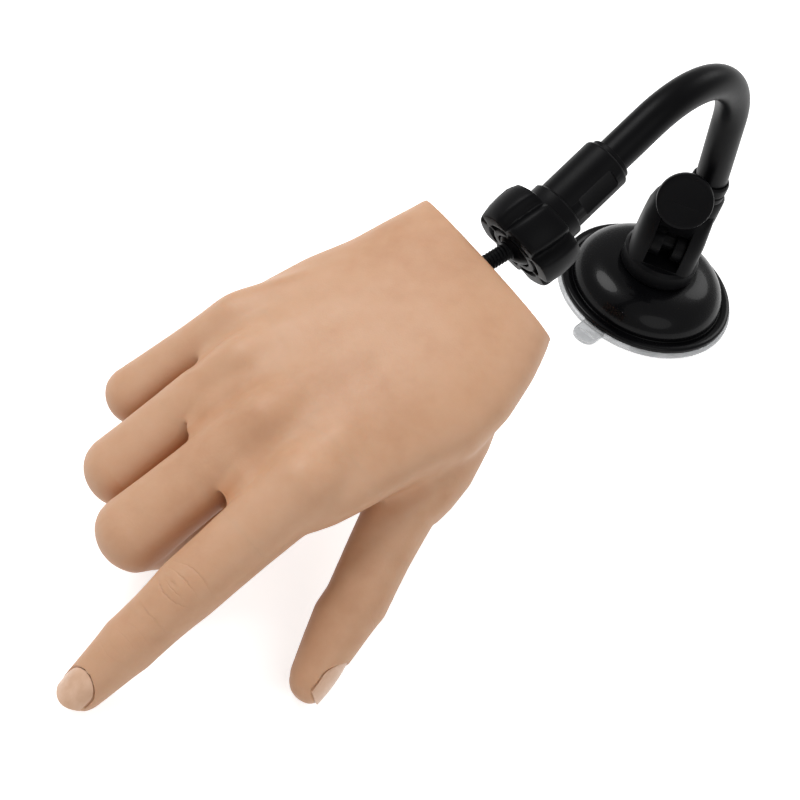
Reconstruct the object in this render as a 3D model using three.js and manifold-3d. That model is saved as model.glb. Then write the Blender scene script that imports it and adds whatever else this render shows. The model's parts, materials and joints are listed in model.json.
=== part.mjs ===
// Nail practice hand: a jointed silicone hand on a ball joint, held by a gooseneck arm on a
// lever-locked suction base. Millimetres, +Z up, origin at the centre of the suction face.
// The hand is a right hand, back upwards: in its own frame +X runs to the fingers, +Y to the
// thumb side and +Z out of the back of the hand.
import * as THREE from 'three';
import { mergeVertices } from 'three/addons/utils/BufferGeometryUtils.js';
import Module from 'manifold-3d';

const wasm = await Module();
wasm.setup();

const rad = THREE.MathUtils.degToRad;

// Driving dimensions
const fit = 0.3;                // running clearance between pieces
const film = { radius: 36, thickness: 1.7, bossRadius: 5.5, bossTop: 9,
  tabAngle: 243.5, tabReach: 44.6, tabWidth: 10 };
const dome = { rimRadius: 35.1, flangeWidth: 4.3, flangeTop: 4.2, topRadius: 15, top: 16, wall: 2,
  boreRadius: 4.6 };
const stem = { radius: 2.2, footRadius: 3.6, footHeight: 2, travel: 3, eyeRadius: 4, eyeWidth: 4.4 };
const turret = { collarHeight: 7.5, floor: 24.5, bodyFoot: 30, width: 27, depth: 25, shoulder: 47,
  topWidth: 23, slotWidth: 13.6 };
const lever = { pinY: -1.5, pinZ: 31, pinRadius: 1.5, camRadius: 6.2, camLift: 1.9, bladeHalf: 2.2,
  legLength: 14, bladeFoot: 9, padRadius: 10.7, padThickness: 3.4, padX: -2.4, padY: -13, padZ: 60, padLean: 25 };
const neck = { x: 5.1, y: 3.4, socketRadius: 8.6, socketFoot: 43, ferruleRadius: 7.4, ferruleTop: 62,
  ferruleHeight: 8, rootDepth: 14 };
const arch = { heading: 239.3, lean: 15.7, legLength: 34.5, bendRadius: 41.1, endSlope: 31.4, endLength: 18.9 };
const tube = { radius: 6.25, bend: 24, joints: [7, 34, 60, 86, 112] };
const sleeve = { radius: 8.6, length: 26, stepRadius: 7.7, step: 1.6, insert: 9,
  panelWidth: 8, panelLength: 15, panelDepth: 0.8, panelFoot: 4, panelTurn: -60 };
const nut = { radius: 15.3, lobes: 6, lobeDepth: 2.5, grooveRadius: 3.6, collarRadius: 10.4,
  collarTop: 22.5, lobesTop: 28.5, bottom: 44 };
const ball = { radius: 8.5, distance: 38, neckRadius: 3, collarRadius: 4.6, toWrist: 15, studLength: 12 };
const seat = { outer: 10.3, depth: 9.5 };
const wrist = { heading: 232, slope: 18, ulnar: 34.7, radial: 31.7, back: 13, palm: 12, rim: 3.6, plugLength: 3.8,
  slant: 0.3, slantLength: 30 };
const palm = { drop: 6.2, frontSide: 8, frontEdge: 5, webReach: 1, cutReach: 60 };
const thenar = { root: 1.15, middle: 1.2, short: 6 };
const bone = { width: 3, depth: 4, eyeRadius: 3.8, earWidth: 2, pinRadius: 1.2, bridge: 5, neckLength: 4 };
const nailPlate = { thickness: 0.9, width: 11.4, length: 12.5, overhang: 1, rise: 0.96 };
const palmBase = { start: 7, end: 25, ulnar: 17, radial: 23, halfDepth: 5 };

// Fingers: knuckle in the hand's frame, splay towards the thumb, resting flexion and the limits
// of flexion of each joint in degrees, lengths between hinges, half widths and half depths at
// the root, the middle joint, the end joint and the tip
const fingers = {
  index: { knuckle: [96.4, 33, 1], splay: 4.6, roll: 0, rest: [12, 4, 2], low: [0, 0, 0], high: [66, 92, 45],
    length: [46.8, 24, 25.3], half: [12.4, 10.3, 8.5, 7.2], depth: [11, 9.3, 7.9, 6.5], heel: [20, 15, -2] },
  middle: { knuckle: [93, 8.3, 0], splay: -0.9, roll: 0, rest: [16.6, 110, 44], low: [0, 0, 0],
    high: [70, 110, 45],
    length: [54.2, 29.1, 26], half: [11.3, 12.2, 9.6, 7.6], depth: [11, 10.2, 8, 6.4], heel: [20, 4, 0] },
  ring: { knuckle: [86.3, -15.7, -2.6], splay: -2, roll: 0, rest: [21.2, 110, 44], low: [0, 0, 0],
    high: [70, 110, 45],
    length: [53.2, 28, 26], half: [10.2, 11.6, 9.2, 7.2], depth: [10.4, 9.7, 7.6, 6.2], heel: [20, -6, 0] },
  little: { knuckle: [76.7, -33.4, -5.6], splay: -10, roll: 0, rest: [25, 104, 42], low: [0, 0, 0],
    high: [64, 110, 45],
    length: [44.9, 21.8, 23], half: [8.6, 9.7, 8, 6.4], depth: [9.3, 7.9, 7.1, 5.6], heel: [20, -14, -2] },
  thumb: { knuckle: [69.6, 47, -20], splay: 26.4, roll: -95, pitch: 19.1, rest: [0, 2.3], low: [-8, 0],
    high: [5, 35],
    length: [33, 34], half: [11.1, 10.4, 8.2], depth: [11.4, 10.1, 7], heel: [20, 19, -6] },
};

// Back and palm of the hand without its fingers: station, then how far the skin reaches to the
// little-finger side, the thumb side, the back and the palm from a line palm.drop below the
// knuckles. The wrist is cut at a slant, its back nearer to the fingers
const palmStations = [
  [0, wrist.ulnar, wrist.radial, wrist.back, wrist.palm],
  [14, 35.1, 39.8, 14.2, 13],
  [30, 36.4, 47.6, 13.9, 15.2],
  [46, 39.8, 51.5, 13.4, 16.4],
  [62, 40.2, 46.6, 12.8, 15.8],
  [76, 40.5, 45.7, 12, 14],
  [90, 37, 46, 10.6, 12],
  [102, 34, 44, 8.6, 10],
];

// Materials
const finish = {
  skin: new THREE.MeshStandardMaterial({ color: 0xd6a98a, roughness: 0.55, metalness: 0 }),
  nail: new THREE.MeshStandardMaterial({ color: 0xd9b08f, roughness: 0.35, metalness: 0 }),
  satinBlack: new THREE.MeshStandardMaterial({ color: 0x131315, roughness: 0.42, metalness: 0 }),
  glossBlack: new THREE.MeshStandardMaterial({ color: 0x08080a, roughness: 0.14, metalness: 0 }),
  film: new THREE.MeshStandardMaterial({ color: 0xb4b6b8, roughness: 0.3, metalness: 0 }),
  steel: new THREE.MeshStandardMaterial({ color: 0xa9abae, roughness: 0.35, metalness: 1 }),
};

// Solids: joining and cutting
const signedVolume = (points, faces) => {
  const corner = (i) => new THREE.Vector3().fromArray(points, 3 * faces[i]);
  let sum = 0;
  for (let i = 0; i < faces.length; i += 3) {
    sum += corner(i).dot(corner(i + 1).cross(corner(i + 2)));
  }
  return sum;
};

const toSolid = (geometry) => {
  const bare = geometry.clone();
  bare.deleteAttribute('normal');
  bare.deleteAttribute('uv');
  const merged = mergeVertices(bare, 1e-4);
  const points = Float32Array.from(merged.attributes.position.array);
  const faces = Uint32Array.from(merged.index.array);
  if (signedVolume(points, faces) < 0) {
    faces.reverse();
  }
  return new wasm.Manifold(new wasm.Mesh({ numProp: 3, vertProperties: points, triVerts: faces }));
};

const toGeometry = (solid) => {
  const data = solid.getMesh();
  const geometry = new THREE.BufferGeometry();
  geometry.setAttribute('position', new THREE.BufferAttribute(Float32Array.from(data.vertProperties), 3));
  geometry.setIndex(new THREE.BufferAttribute(Uint32Array.from(data.triVerts), 1));
  return geometry;
};

const joined = (first, ...rest) => rest.reduce((sum, geometry) => sum.add(toSolid(geometry)), toSolid(first));
const cut = (solid, ...tools) => tools.reduce((left, geometry) => left.subtract(toSolid(geometry)), solid);

// Shapes
const cylinder = (radius, from, to, sides = 20) => {
  const geometry = new THREE.CylinderGeometry(radius, radius, to - from, sides);
  return geometry.rotateX(Math.PI / 2).translate(0, 0, (from + to) / 2);
};

const crossCylinder = (radius, halfWidth, sides = 20) => (
  new THREE.CylinderGeometry(radius, radius, 2 * halfWidth, sides));

const block = (x0, x1, y0, y1, z0, z1) => new THREE.BoxGeometry(x1 - x0, y1 - y0, z1 - z0)
  .translate((x0 + x1) / 2, (y0 + y1) / 2, (z0 + z1) / 2);

// Turned about Z from [radius, height] corners, listed either way round
const turned = (profile, sides = 32) => {
  const points = profile.map(([r, z]) => new THREE.Vector2(r, z));
  if (THREE.ShapeUtils.area(points) < 0) {
    points.reverse();
  }
  return new THREE.LatheGeometry(points, sides).rotateX(Math.PI / 2);
};

// A flat outline in X and Z, standing across Y
const acrossY = (outline, halfWidth) => {
  const shape = new THREE.Shape(outline.map(([x, z]) => new THREE.Vector2(x, z)));
  return new THREE.ExtrudeGeometry(shape, { depth: 2 * halfWidth, bevelEnabled: false })
    .rotateX(Math.PI / 2).translate(0, halfWidth, 0);
};

// Skin over rings of points, closed at both ends
const skinOver = (rings) => {
  const sides = rings[0].length;
  const points = rings.flat();
  const faces = [];
  for (let i = 0; i + 1 < rings.length; i += 1) {
    for (let j = 0; j < sides; j += 1) {
      const a = i * sides + j;
      const b = i * sides + ((j + 1) % sides);
      faces.push(a, b, b + sides, a, b + sides, a + sides);
    }
  }
  const capEnd = (ring, offset, flip) => {
    const middle = ring.reduce((sum, p) => sum.add(p), new THREE.Vector3()).divideScalar(sides);
    const centre = points.push(middle) - 1;
    for (let j = 0; j < sides; j += 1) {
      const a = offset + j;
      const b = offset + ((j + 1) % sides);
      faces.push(...(flip ? [centre, b, a] : [centre, a, b]));
    }
  };
  capEnd(rings[0], 0, true);
  capEnd(rings[rings.length - 1], (rings.length - 1) * sides, false);
  const geometry = new THREE.BufferGeometry().setFromPoints(points);
  geometry.setIndex(faces);
  return geometry;
};

// One oval ring across X
const ovalRing = (x, y, z, half, up, down, sides = 12) => {
  const ring = [];
  for (let j = 0; j < sides; j += 1) {
    const a = (2 * Math.PI * (j + 0.5)) / sides;
    const rise = Math.sin(a) > 0 ? up : down;
    ring.push(new THREE.Vector3(x, y + half * Math.cos(a), z + rise * Math.sin(a)));
  }
  return ring;
};

// A ring across X with squarer sides, for the palm
const palmRing = ([x, ulnar, radial, back, under], sides = 20) => {
  const square = (v, power) => Math.sign(v) * Math.abs(v) ** power;
  const ring = [];
  for (let j = 0; j < sides; j += 1) {
    const a = (2 * Math.PI * (j + 0.5)) / sides;
    const side = square(Math.cos(a), 0.86);
    const rise = square(Math.sin(a), 0.86);
    const height = rise * (rise > 0 ? back : under);
    const slant = wrist.slant * height * Math.max(0, 1 - x / wrist.slantLength);
    ring.push(new THREE.Vector3(x + slant, side * (side > 0 ? radial : ulnar), height - palm.drop));
  }
  return ring;
};

const ovalSides = 14;
const oval = (half, radius) => new THREE.SphereGeometry(1, ovalSides, 6).scale(radius, half, radius);

// A hollow whose flat facets all stay clear of the ball inside it
const cupRoom = (half, radius) => oval(half + fit, radius + fit)
  .scale(1 / Math.cos(Math.PI / ovalSides), 1.02, 1 / Math.cos(Math.PI / ovalSides));

// Places geometry by a matrix
const placed = (geometry, matrix) => geometry.clone().applyMatrix4(matrix);

const turnedFrame = (position, splay, pitch, roll) => {
  const turn = new THREE.Matrix4().makeRotationZ(rad(splay))
    .multiply(new THREE.Matrix4().makeRotationY(rad(pitch)))
    .multiply(new THREE.Matrix4().makeRotationX(rad(roll)));
  return turn.premultiply(new THREE.Matrix4().makeTranslation(...position));
};

const mesh = (name, geometry, material) => {
  const result = new THREE.Mesh(geometry, material);
  result.name = name;
  return result;
};

// Finger joints: a fork with its pin holds the eye of the next bone, and the skin is parted
// there as a ball in a cup. Bend room is the wedge cut from the palm side of both skins.
const bendRoom = (radius, half, angle, side) => {
  const reach = 2.4 * radius;
  const back = side * reach * Math.tan(rad(angle));
  return acrossY([[0, 0], [back, -reach], [-side * radius, -reach], [-side * radius, 0]], half);
};

const eyeSlot = (radius, low, high) => {
  const points = [[0, 0]];
  const from = rad(36 - low);
  const to = -rad(high + 36);
  const steps = 4;
  for (let i = 0; i <= steps; i += 1) {
    const a = from + ((to - from) * i) / steps;
    points.push([radius * Math.cos(a), radius * Math.sin(a)]);
  }
  return acrossY(points, bone.width / 2 + fit);
};

const forkWidth = bone.width + 2 * fit + 2 * bone.earWidth;
const forkBack = -bone.eyeRadius - 1 - bone.bridge;
const forkHalf = 2.2;

// Round end about the hinge, closing a bar that comes from the side given by its sign
const roundEnd = (radius, halfBar, sign, steps = 5) => {
  const open = Math.PI - Math.asin(halfBar / radius);
  const points = [];
  for (let i = 0; i <= steps; i += 1) {
    const a = open - (2 * open * i) / steps;
    points.push([sign * radius * Math.cos(a), radius * Math.sin(a)]);
  }
  return points;
};

const forkAt = (x) => {
  const inner = bone.width / 2 + fit;
  const outer = forkWidth / 2;
  const outline = [[forkBack, forkHalf], ...roundEnd(bone.eyeRadius, forkHalf, 1), [forkBack, -forkHalf]];
  const ears = [-1, 1].map((side) => acrossY(outline, bone.earWidth / 2)
    .translate(0, side * (inner + bone.earWidth / 2), 0));
  const bridge = block(forkBack, forkBack + bone.bridge, -outer + 0.5, outer - 0.5, -forkHalf, forkHalf);
  const pin = crossCylinder(bone.pinRadius, outer - 0.5, 6);
  return [...ears, bridge, pin].map((geometry) => geometry.translate(x, 0, 0));
};

const forkPocket = (x) => {
  const half = forkHalf + fit;
  const back = forkBack - fit;
  const outline = [[back, half], ...roundEnd(bone.eyeRadius + 2 * fit, half, 1), [back, -half]];
  return [acrossY(outline, forkWidth / 2 + fit).translate(x, 0, 0)];
};

const barAlong = (from, to, grow = 0) => {
  const y = bone.width / 2 + grow;
  const z = bone.depth / 2 + grow;
  return block(from, to, -y, y, -z, z);
};

const boneGeometry = (length, hasFork) => {
  const barEnd = hasFork ? length + forkBack + 1 : length - bone.neckLength - 5;
  const half = bone.depth / 2;
  const outline = [[barEnd, half], ...roundEnd(bone.eyeRadius, half, -1), [barEnd, -half]];
  let solid = joined(acrossY(outline, bone.width / 2));
  if (hasFork) {
    solid = forkAt(length).reduce((sum, geometry) => sum.add(toSolid(geometry)), solid);
  }
  return toGeometry(cut(solid, crossCylinder(bone.pinRadius + fit, bone.width, 6)));
};

// A finger's skin between two hinges, or from the last hinge to the tip. Each station is a
// share of the length with the shares of the width, of the back and of the pad
const shaftStations = [[0, 1, 1, 1], [0.5, 0.95, 0.94, 0.94], [1, 1, 1, 1]];
const tipStations = [[0, 1, 1, 1], [0.45, 0.99, 0.96, 1.05], [0.7, 0.97, 0.9, 1.04], [0.87, 0.88, 0.78, 0.88],
  [0.965, 0.64, 0.56, 0.58], [1, 0.3, 0.28, 0.24]];

const cupLip = 0.24;            // how far from the hinge the cup's lip lies, as a share of the depth

const phalanxRings = (length, [half0, half1], [depth0, depth1], isTip) => {
  const stations = isTip ? tipStations : shaftStations;
  const start = cupLip * depth0;
  return stations.map(([share, wide, back, pad]) => {
    const blend = Math.min(1, share * (isTip ? 1.6 : 1));
    const half = half0 + (half1 - half0) * blend;
    const depth = depth0 + (depth1 - depth0) * blend;
    return ovalRing(start + (length - start) * share, 0, 0, half * wide, depth * back, depth * pad);
  });
};

// The nail: an arched plate over the fingertip with a rounded cuticle end, and the bed cut for it
const nailShape = (length, half, depth, grow) => {
  const arcRadius = half * 1.05;
  const axis = depth * nailPlate.rise - arcRadius;
  const side = (nailPlate.width * half) / 14.6 + grow;
  const x1 = length + nailPlate.overhang + grow;
  const x0 = length - nailPlate.length - grow;
  const barrel = (radius) => toSolid(new THREE.CylinderGeometry(radius, radius, x1 - x0 + 2, 24)
    .rotateZ(Math.PI / 2).translate((x0 + x1) / 2, 0, axis));
  const outline = new THREE.Shape();
  outline.moveTo(x1, -side * 0.86);
  outline.lineTo(x1, side * 0.86);
  outline.lineTo(x0 + side, side);
  outline.absellipse(x0 + side, 0, side, side, Math.PI / 2, Math.PI * 1.5, false);
  outline.closePath();
  const inner = arcRadius - nailPlate.thickness - grow;
  const lowest = axis + Math.sqrt(Math.max(1, inner ** 2 - side ** 2)) - (grow > 0 ? 0.2 : 0);
  const column = { depth: 3 * depth, bevelEnabled: false, curveSegments: 6 };
  const mask = toSolid(new THREE.ExtrudeGeometry(outline, column).translate(0, 0, lowest));
  return { mask, barrel, inner, outer: arcRadius };
};

const nailSolid = (length, half, depth) => {
  const { mask, barrel, inner, outer } = nailShape(length, half, depth, 0);
  return mask.intersect(barrel(outer)).subtract(barrel(inner));
};

const nailBed = (length, half, depth) => {
  const { mask, barrel, inner } = nailShape(length, half, depth, fit);
  return mask.subtract(barrel(inner));
};

const skinBetween = (finger, index) => {
  const isTip = index === finger.length.length - 1;
  const length = finger.length[index];
  const half = [finger.half[index], finger.half[index + 1]];
  const depth = [finger.depth[index], finger.depth[index + 1]];
  const rings = phalanxRings(length, half, depth, isTip);
  const wedge = (finger.high[index] + 2) / 2;
  const barEnd = isTip ? length - bone.neckLength - 5 + fit : length;
  let solid = joined(skinOver(rings));
  solid = cut(solid, bendRoom(depth[0] + 1, half[0] + 2, wedge, 1));
  solid = cut(solid, cupRoom(half[0], depth[0]));
  if (isTip) {
    solid = cut(solid, barAlong(0, barEnd, fit));
    return solid.subtract(nailBed(length, half[1], depth[1]));
  }
  const next = (finger.high[index + 1] + 2) / 2;
  solid = cut(solid, bendRoom(depth[1] + 1, half[1] + 2, next, -1).translate(length, 0, 0));
  solid = solid.add(toSolid(oval(half[1], depth[1]).translate(length, 0, 0)));
  const slot = eyeSlot(depth[1] + 6, finger.low[index + 1], finger.high[index + 1]).translate(length, 0, 0);
  return cut(solid, barAlong(0, barEnd, fit), ...forkPocket(length), slot);
};

// Arm path
const armPlane = new THREE.Vector3(Math.cos(rad(arch.heading)), Math.sin(rad(arch.heading)), 0);
const armPoint = (reach, height) => new THREE.Vector3(neck.x, neck.y, neck.ferruleTop)
  .addScaledVector(armPlane, reach).add(new THREE.Vector3(0, 0, height));
const bendAngle = rad(90 - arch.lean + arch.endSlope);
const bendLength = arch.bendRadius * bendAngle;
const armLength = arch.legLength + bendLength + arch.endLength;

// Place and direction on the arm's centre line, at a length from the ferrule
const armAt = (s) => {
  const rise = rad(90 - arch.lean);
  if (s <= arch.legLength) {
    return { point: armPoint(s * Math.cos(rise), s * Math.sin(rise)), slope: rise };
  }
  const legEnd = [arch.legLength * Math.cos(rise), arch.legLength * Math.sin(rise)];
  const centre = [legEnd[0] + arch.bendRadius * Math.sin(rise), legEnd[1] - arch.bendRadius * Math.cos(rise)];
  const turn = Math.min(s - arch.legLength, bendLength) / arch.bendRadius;
  const slope = rise - turn;
  const past = Math.max(0, s - arch.legLength - bendLength);
  const reach = centre[0] - arch.bendRadius * Math.sin(slope) + past * Math.cos(slope);
  const height = centre[1] + arch.bendRadius * Math.cos(slope) + past * Math.sin(slope);
  return { point: armPoint(reach, height), slope };
};

const armDirection = (slope) => armPlane.clone().multiplyScalar(Math.cos(slope))
  .add(new THREE.Vector3(0, 0, Math.sin(slope)));
const armSide = new THREE.Vector3(0, 0, 1).cross(armPlane).normalize();

// A frame on the arm with +Z along it and +X across the arm's plane
const armFrame = (s) => {
  const { point, slope } = armAt(s);
  const z = armDirection(slope);
  const y = z.clone().cross(armSide);
  return new THREE.Matrix4().makeBasis(armSide, y, z).setPosition(point);
};

const roundRing = (frame, radius, sides = 14) => {
  const ring = [];
  for (let j = 0; j < sides; j += 1) {
    const a = (2 * Math.PI * j) / sides;
    ring.push(new THREE.Vector3(radius * Math.cos(a), radius * Math.sin(a), 0).applyMatrix4(frame));
  }
  return ring;
};

// Tube along the arm between two lengths: hollow cup at its start, ball at its end
const jointGap = tube.radius * Math.tan(rad(tube.bend)) + fit;
const tubeBall = (radius, s) => new THREE.SphereGeometry(radius, 14, 8).rotateX(Math.PI / 2)
  .applyMatrix4(armFrame(s));
const tubeSegment = (from, to, hasBall) => {
  const start = from + jointGap;
  const steps = Math.max(2, Math.round((to - start) / 8));
  const rings = [];
  for (let i = 0; i <= steps; i += 1) {
    rings.push(roundRing(armFrame(start + ((to - start) * i) / steps), tube.radius));
  }
  let solid = joined(skinOver(rings));
  solid = cut(solid, tubeBall(tube.radius + fit, from));
  if (hasBall) {
    solid = solid.add(toSolid(tubeBall(tube.radius, to)));
  }
  return toGeometry(solid);
};

// Suction base
const suctionFilm = () => {
  const edge = 0.5;
  const disc = turned([[0, 0], [film.radius - edge, 0], [film.radius, edge],
    [film.radius, film.thickness - edge], [film.radius - edge, film.thickness],
    [film.bossRadius + 3, film.thickness], [film.bossRadius, film.thickness + 2],
    [film.bossRadius, film.bossTop], [0, film.bossTop]], 36);
  const half = film.tabWidth / 2;
  const outline = new THREE.Shape();
  outline.moveTo(film.radius - 2, -half);
  outline.lineTo(film.tabReach - half, -half);
  outline.absarc(film.tabReach - half, 0, half, -Math.PI / 2, Math.PI / 2, false);
  outline.lineTo(film.radius - 2, half);
  outline.closePath();
  const tabThickness = film.thickness - 0.3;
  const plate = { depth: tabThickness, bevelEnabled: false, curveSegments: 8 };
  const tab = new THREE.ExtrudeGeometry(outline, plate);
  const groove = block(film.tabReach - 5, film.tabReach - 4, -half + 1.4, half - 1.4,
    tabThickness - 0.6, film.thickness);
  const grip = toSolid(tab).subtract(toSolid(groove));
  const turn = rad(film.tabAngle);
  const tabSolid = toSolid(toGeometry(grip).rotateZ(turn));
  const roomFoot = film.thickness + 1;
  const roomTop = roomFoot + stem.footHeight + stem.travel + 2 * fit;
  const room = [
    cylinder(stem.footRadius + fit, roomFoot, roomTop, 20),
    cylinder(stem.radius + fit, roomFoot, film.bossTop + 1, 16),
  ];
  return toGeometry(cut(toSolid(disc).add(tabSolid), ...room));
};

const domeShell = () => {
  const inside = dome.rimRadius - dome.flangeWidth;
  const rise = dome.top - dome.flangeTop;
  const run = inside - dome.topRadius;
  const curve = (offset) => [0, 1, 2, 3, 4].map((i) => {
    const a = (Math.PI / 2) * (i / 4);
    return [inside - offset - run * (1 - Math.cos(a)), dome.flangeTop - offset + rise * Math.sin(a)];
  });
  const outer = curve(0);
  const innerLine = curve(dome.wall).reverse();
  const bottom = film.thickness + fit;
  const profile = [[dome.boreRadius, dome.top], ...outer.reverse(), [dome.rimRadius - 0.8, dome.flangeTop],
    [dome.rimRadius, dome.flangeTop - 0.8], [dome.rimRadius, bottom + 0.4], [dome.rimRadius - 0.4, bottom],
    [inside - dome.wall, bottom], ...innerLine.reverse().slice(0, -1),
    [dome.boreRadius + dome.wall, dome.top - dome.wall],
    [dome.boreRadius + dome.wall, film.bossTop + fit], [dome.boreRadius, film.bossTop + fit],
    [dome.boreRadius, dome.top]];
  return turned(profile, 36);
};

const turretHousing = () => {
  const base = dome.top + fit;
  const collarTop = base + turret.collarHeight;
  const collar = turned([[0, base], [dome.topRadius - 0.4, base], [dome.topRadius, base + 0.4],
    [dome.topRadius, collarTop - 1], [dome.topRadius - 1, collarTop], [0, collarTop]]);
  const squareRing = (z, halfX, halfY, centreX, centreY) => {
    const ring = [];
    const sides = 24;
    for (let j = 0; j < sides; j += 1) {
      const a = (2 * Math.PI * (j + 0.5)) / sides;
      const corner = (v) => Math.sign(v) * Math.abs(v) ** 0.6;
      const x = centreX + halfX * corner(Math.cos(a));
      ring.push(new THREE.Vector3(x, centreY + halfY * corner(Math.sin(a)), z));
    }
    return ring;
  };
  const top = turret.shoulder;
  const body = skinOver([
    squareRing(base + 2, turret.width / 2, turret.depth / 2, 0, 0.5),
    squareRing(turret.bodyFoot, turret.width / 2, turret.depth / 2, 0, 0.5),
    squareRing(top - 6, turret.width / 2 - 0.4, turret.depth / 2 - 2, 0, 2),
    squareRing(top, turret.topWidth / 2, turret.depth / 2 - 4.5, 0.8, 3.6),
  ]);
  const half = turret.slotWidth / 2;
  const slotBack = 7;
  const slot = block(-half, half, -turret.depth, slotBack, turret.floor, top + 10);
  const housing = cut(joined(collar, body), slot);
  const socketFoot = cylinder(neck.socketRadius, neck.socketFoot, neck.ferruleTop - neck.ferruleHeight, 28)
    .translate(neck.x, neck.y + 1.5, 0);
  const keepClear = block(-half, half, -turret.depth, neck.y - tube.radius, turret.floor,
    neck.ferruleTop);
  const socket = toSolid(socketFoot).subtract(toSolid(keepClear));
  const stemBore = cylinder(stem.radius + fit, 0, turret.floor + 1, 20);
  const eyeRoom = cylinder(stem.eyeRadius + 1, turret.floor - 4, turret.floor + 8, 24);
  return toGeometry(cut(housing.add(socket), stemBore, eyeRoom, tubeRoom()));
};

// Room for the lower end of the gooseneck and its ferrule, down into the housing
const tubeRoom = () => {
  const start = neck.ferruleTop - neck.rootDepth;
  return cylinder(tube.radius + fit, start, neck.ferruleTop, 24).translate(neck.x, neck.y, 0);
};

const ferruleRing = () => {
  const seatZ = neck.ferruleTop - neck.ferruleHeight + fit;
  const inner = tube.radius + fit;
  const outer = neck.ferruleRadius;
  const step = 0.7;
  return turned([[inner, seatZ], [outer, seatZ], [outer, seatZ + 2.4], [outer - step, seatZ + 3],
    [outer, seatZ + 3.6], [outer, neck.ferruleTop - 1], [outer - step, neck.ferruleTop],
    [inner, neck.ferruleTop], [inner, seatZ]], 24).translate(neck.x, neck.y, 0);
};

const pullStem = () => {
  const foot = film.thickness + 1 + fit;
  const shaft = cylinder(stem.radius, foot, lever.pinZ - 1, 16);
  const flange = cylinder(stem.footRadius, foot, foot + stem.footHeight, 20);
  const eye = crossCylinder(stem.eyeRadius, stem.eyeWidth / 2, 20).rotateZ(Math.PI / 2)
    .translate(0, lever.pinY, lever.pinZ);
  const bore = crossCylinder(lever.pinRadius + fit / 2, stem.eyeWidth, 16).rotateZ(Math.PI / 2)
    .translate(0, lever.pinY, lever.pinZ);
  return toGeometry(cut(joined(shaft, flange, eye), bore));
};

const leverPin = () => crossCylinder(lever.pinRadius, turret.slotWidth / 2 - fit, 16).rotateZ(Math.PI / 2)
  .translate(0, lever.pinY, lever.pinZ);

const camLever = () => {
  const half = turret.slotWidth / 2 - fit;
  const inner = stem.eyeWidth / 2 + fit;
  const plate = half - inner;
  const cams = [-1, 1].map((side) => crossCylinder(lever.camRadius, plate / 2, 18).rotateZ(Math.PI / 2)
    .translate(side * (inner + plate / 2), lever.pinY - lever.camLift, lever.pinZ));
  const bladeLean = Math.atan2(lever.pinY - lever.padY, lever.padZ - lever.pinZ);
  const bladeLength = Math.hypot(lever.pinY - lever.padY, lever.padZ - lever.pinZ);
  const leaning = (x0, x1, from, to) => block(x0, x1, -lever.bladeHalf, lever.bladeHalf, from, to)
    .rotateX(bladeLean).translate(0, lever.pinY, lever.pinZ);
  const legs = [leaning(-half, -inner, 0, lever.legLength), leaning(inner, half, 0, lever.legLength)];
  const blade = leaning(-half, half, lever.bladeFoot, bladeLength);
  const pad = turned([[0, -lever.padThickness / 2], [lever.padRadius - 0.7, -lever.padThickness / 2],
    [lever.padRadius, -lever.padThickness / 2 + 0.7], [lever.padRadius, lever.padThickness / 2 - 0.7],
    [lever.padRadius - 0.7, lever.padThickness / 2], [0, lever.padThickness / 2]], 28)
    .rotateX(Math.PI / 2 - rad(lever.padLean)).translate(lever.padX, lever.padY, lever.padZ);
  const pinHole = crossCylinder(lever.pinRadius + fit, turret.slotWidth, 16).rotateZ(Math.PI / 2)
    .translate(0, lever.pinY, lever.pinZ);
  return toGeometry(cut(joined(...cams, ...legs, blade, pad), pinHole));
};

// Sleeve, clamp nut and ball joint, modelled along the arm's end: z is the distance past the tube's end
const sleeveBody = () => {
  const inner = tube.radius + fit;
  const profile = [[inner, -sleeve.step], [sleeve.stepRadius, -sleeve.step], [sleeve.stepRadius, 0],
    [sleeve.radius - 0.6, 0], [sleeve.radius, 0.6], [sleeve.radius, sleeve.length], [0, sleeve.length],
    [0, sleeve.insert], [inner, sleeve.insert], [inner, -sleeve.step]];
  const panel = block(-sleeve.panelWidth / 2, sleeve.panelWidth / 2, sleeve.radius - sleeve.panelDepth,
    sleeve.radius + 2, sleeve.panelFoot, sleeve.panelFoot + sleeve.panelLength)
    .rotateZ(rad(sleeve.panelTurn));
  return toGeometry(cut(toSolid(turned(profile, 28)), panel));
};

const ballRoom = () => new THREE.SphereGeometry(ball.radius + 1.5 * fit, 18, 12).translate(0, 0, ball.distance);

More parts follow.
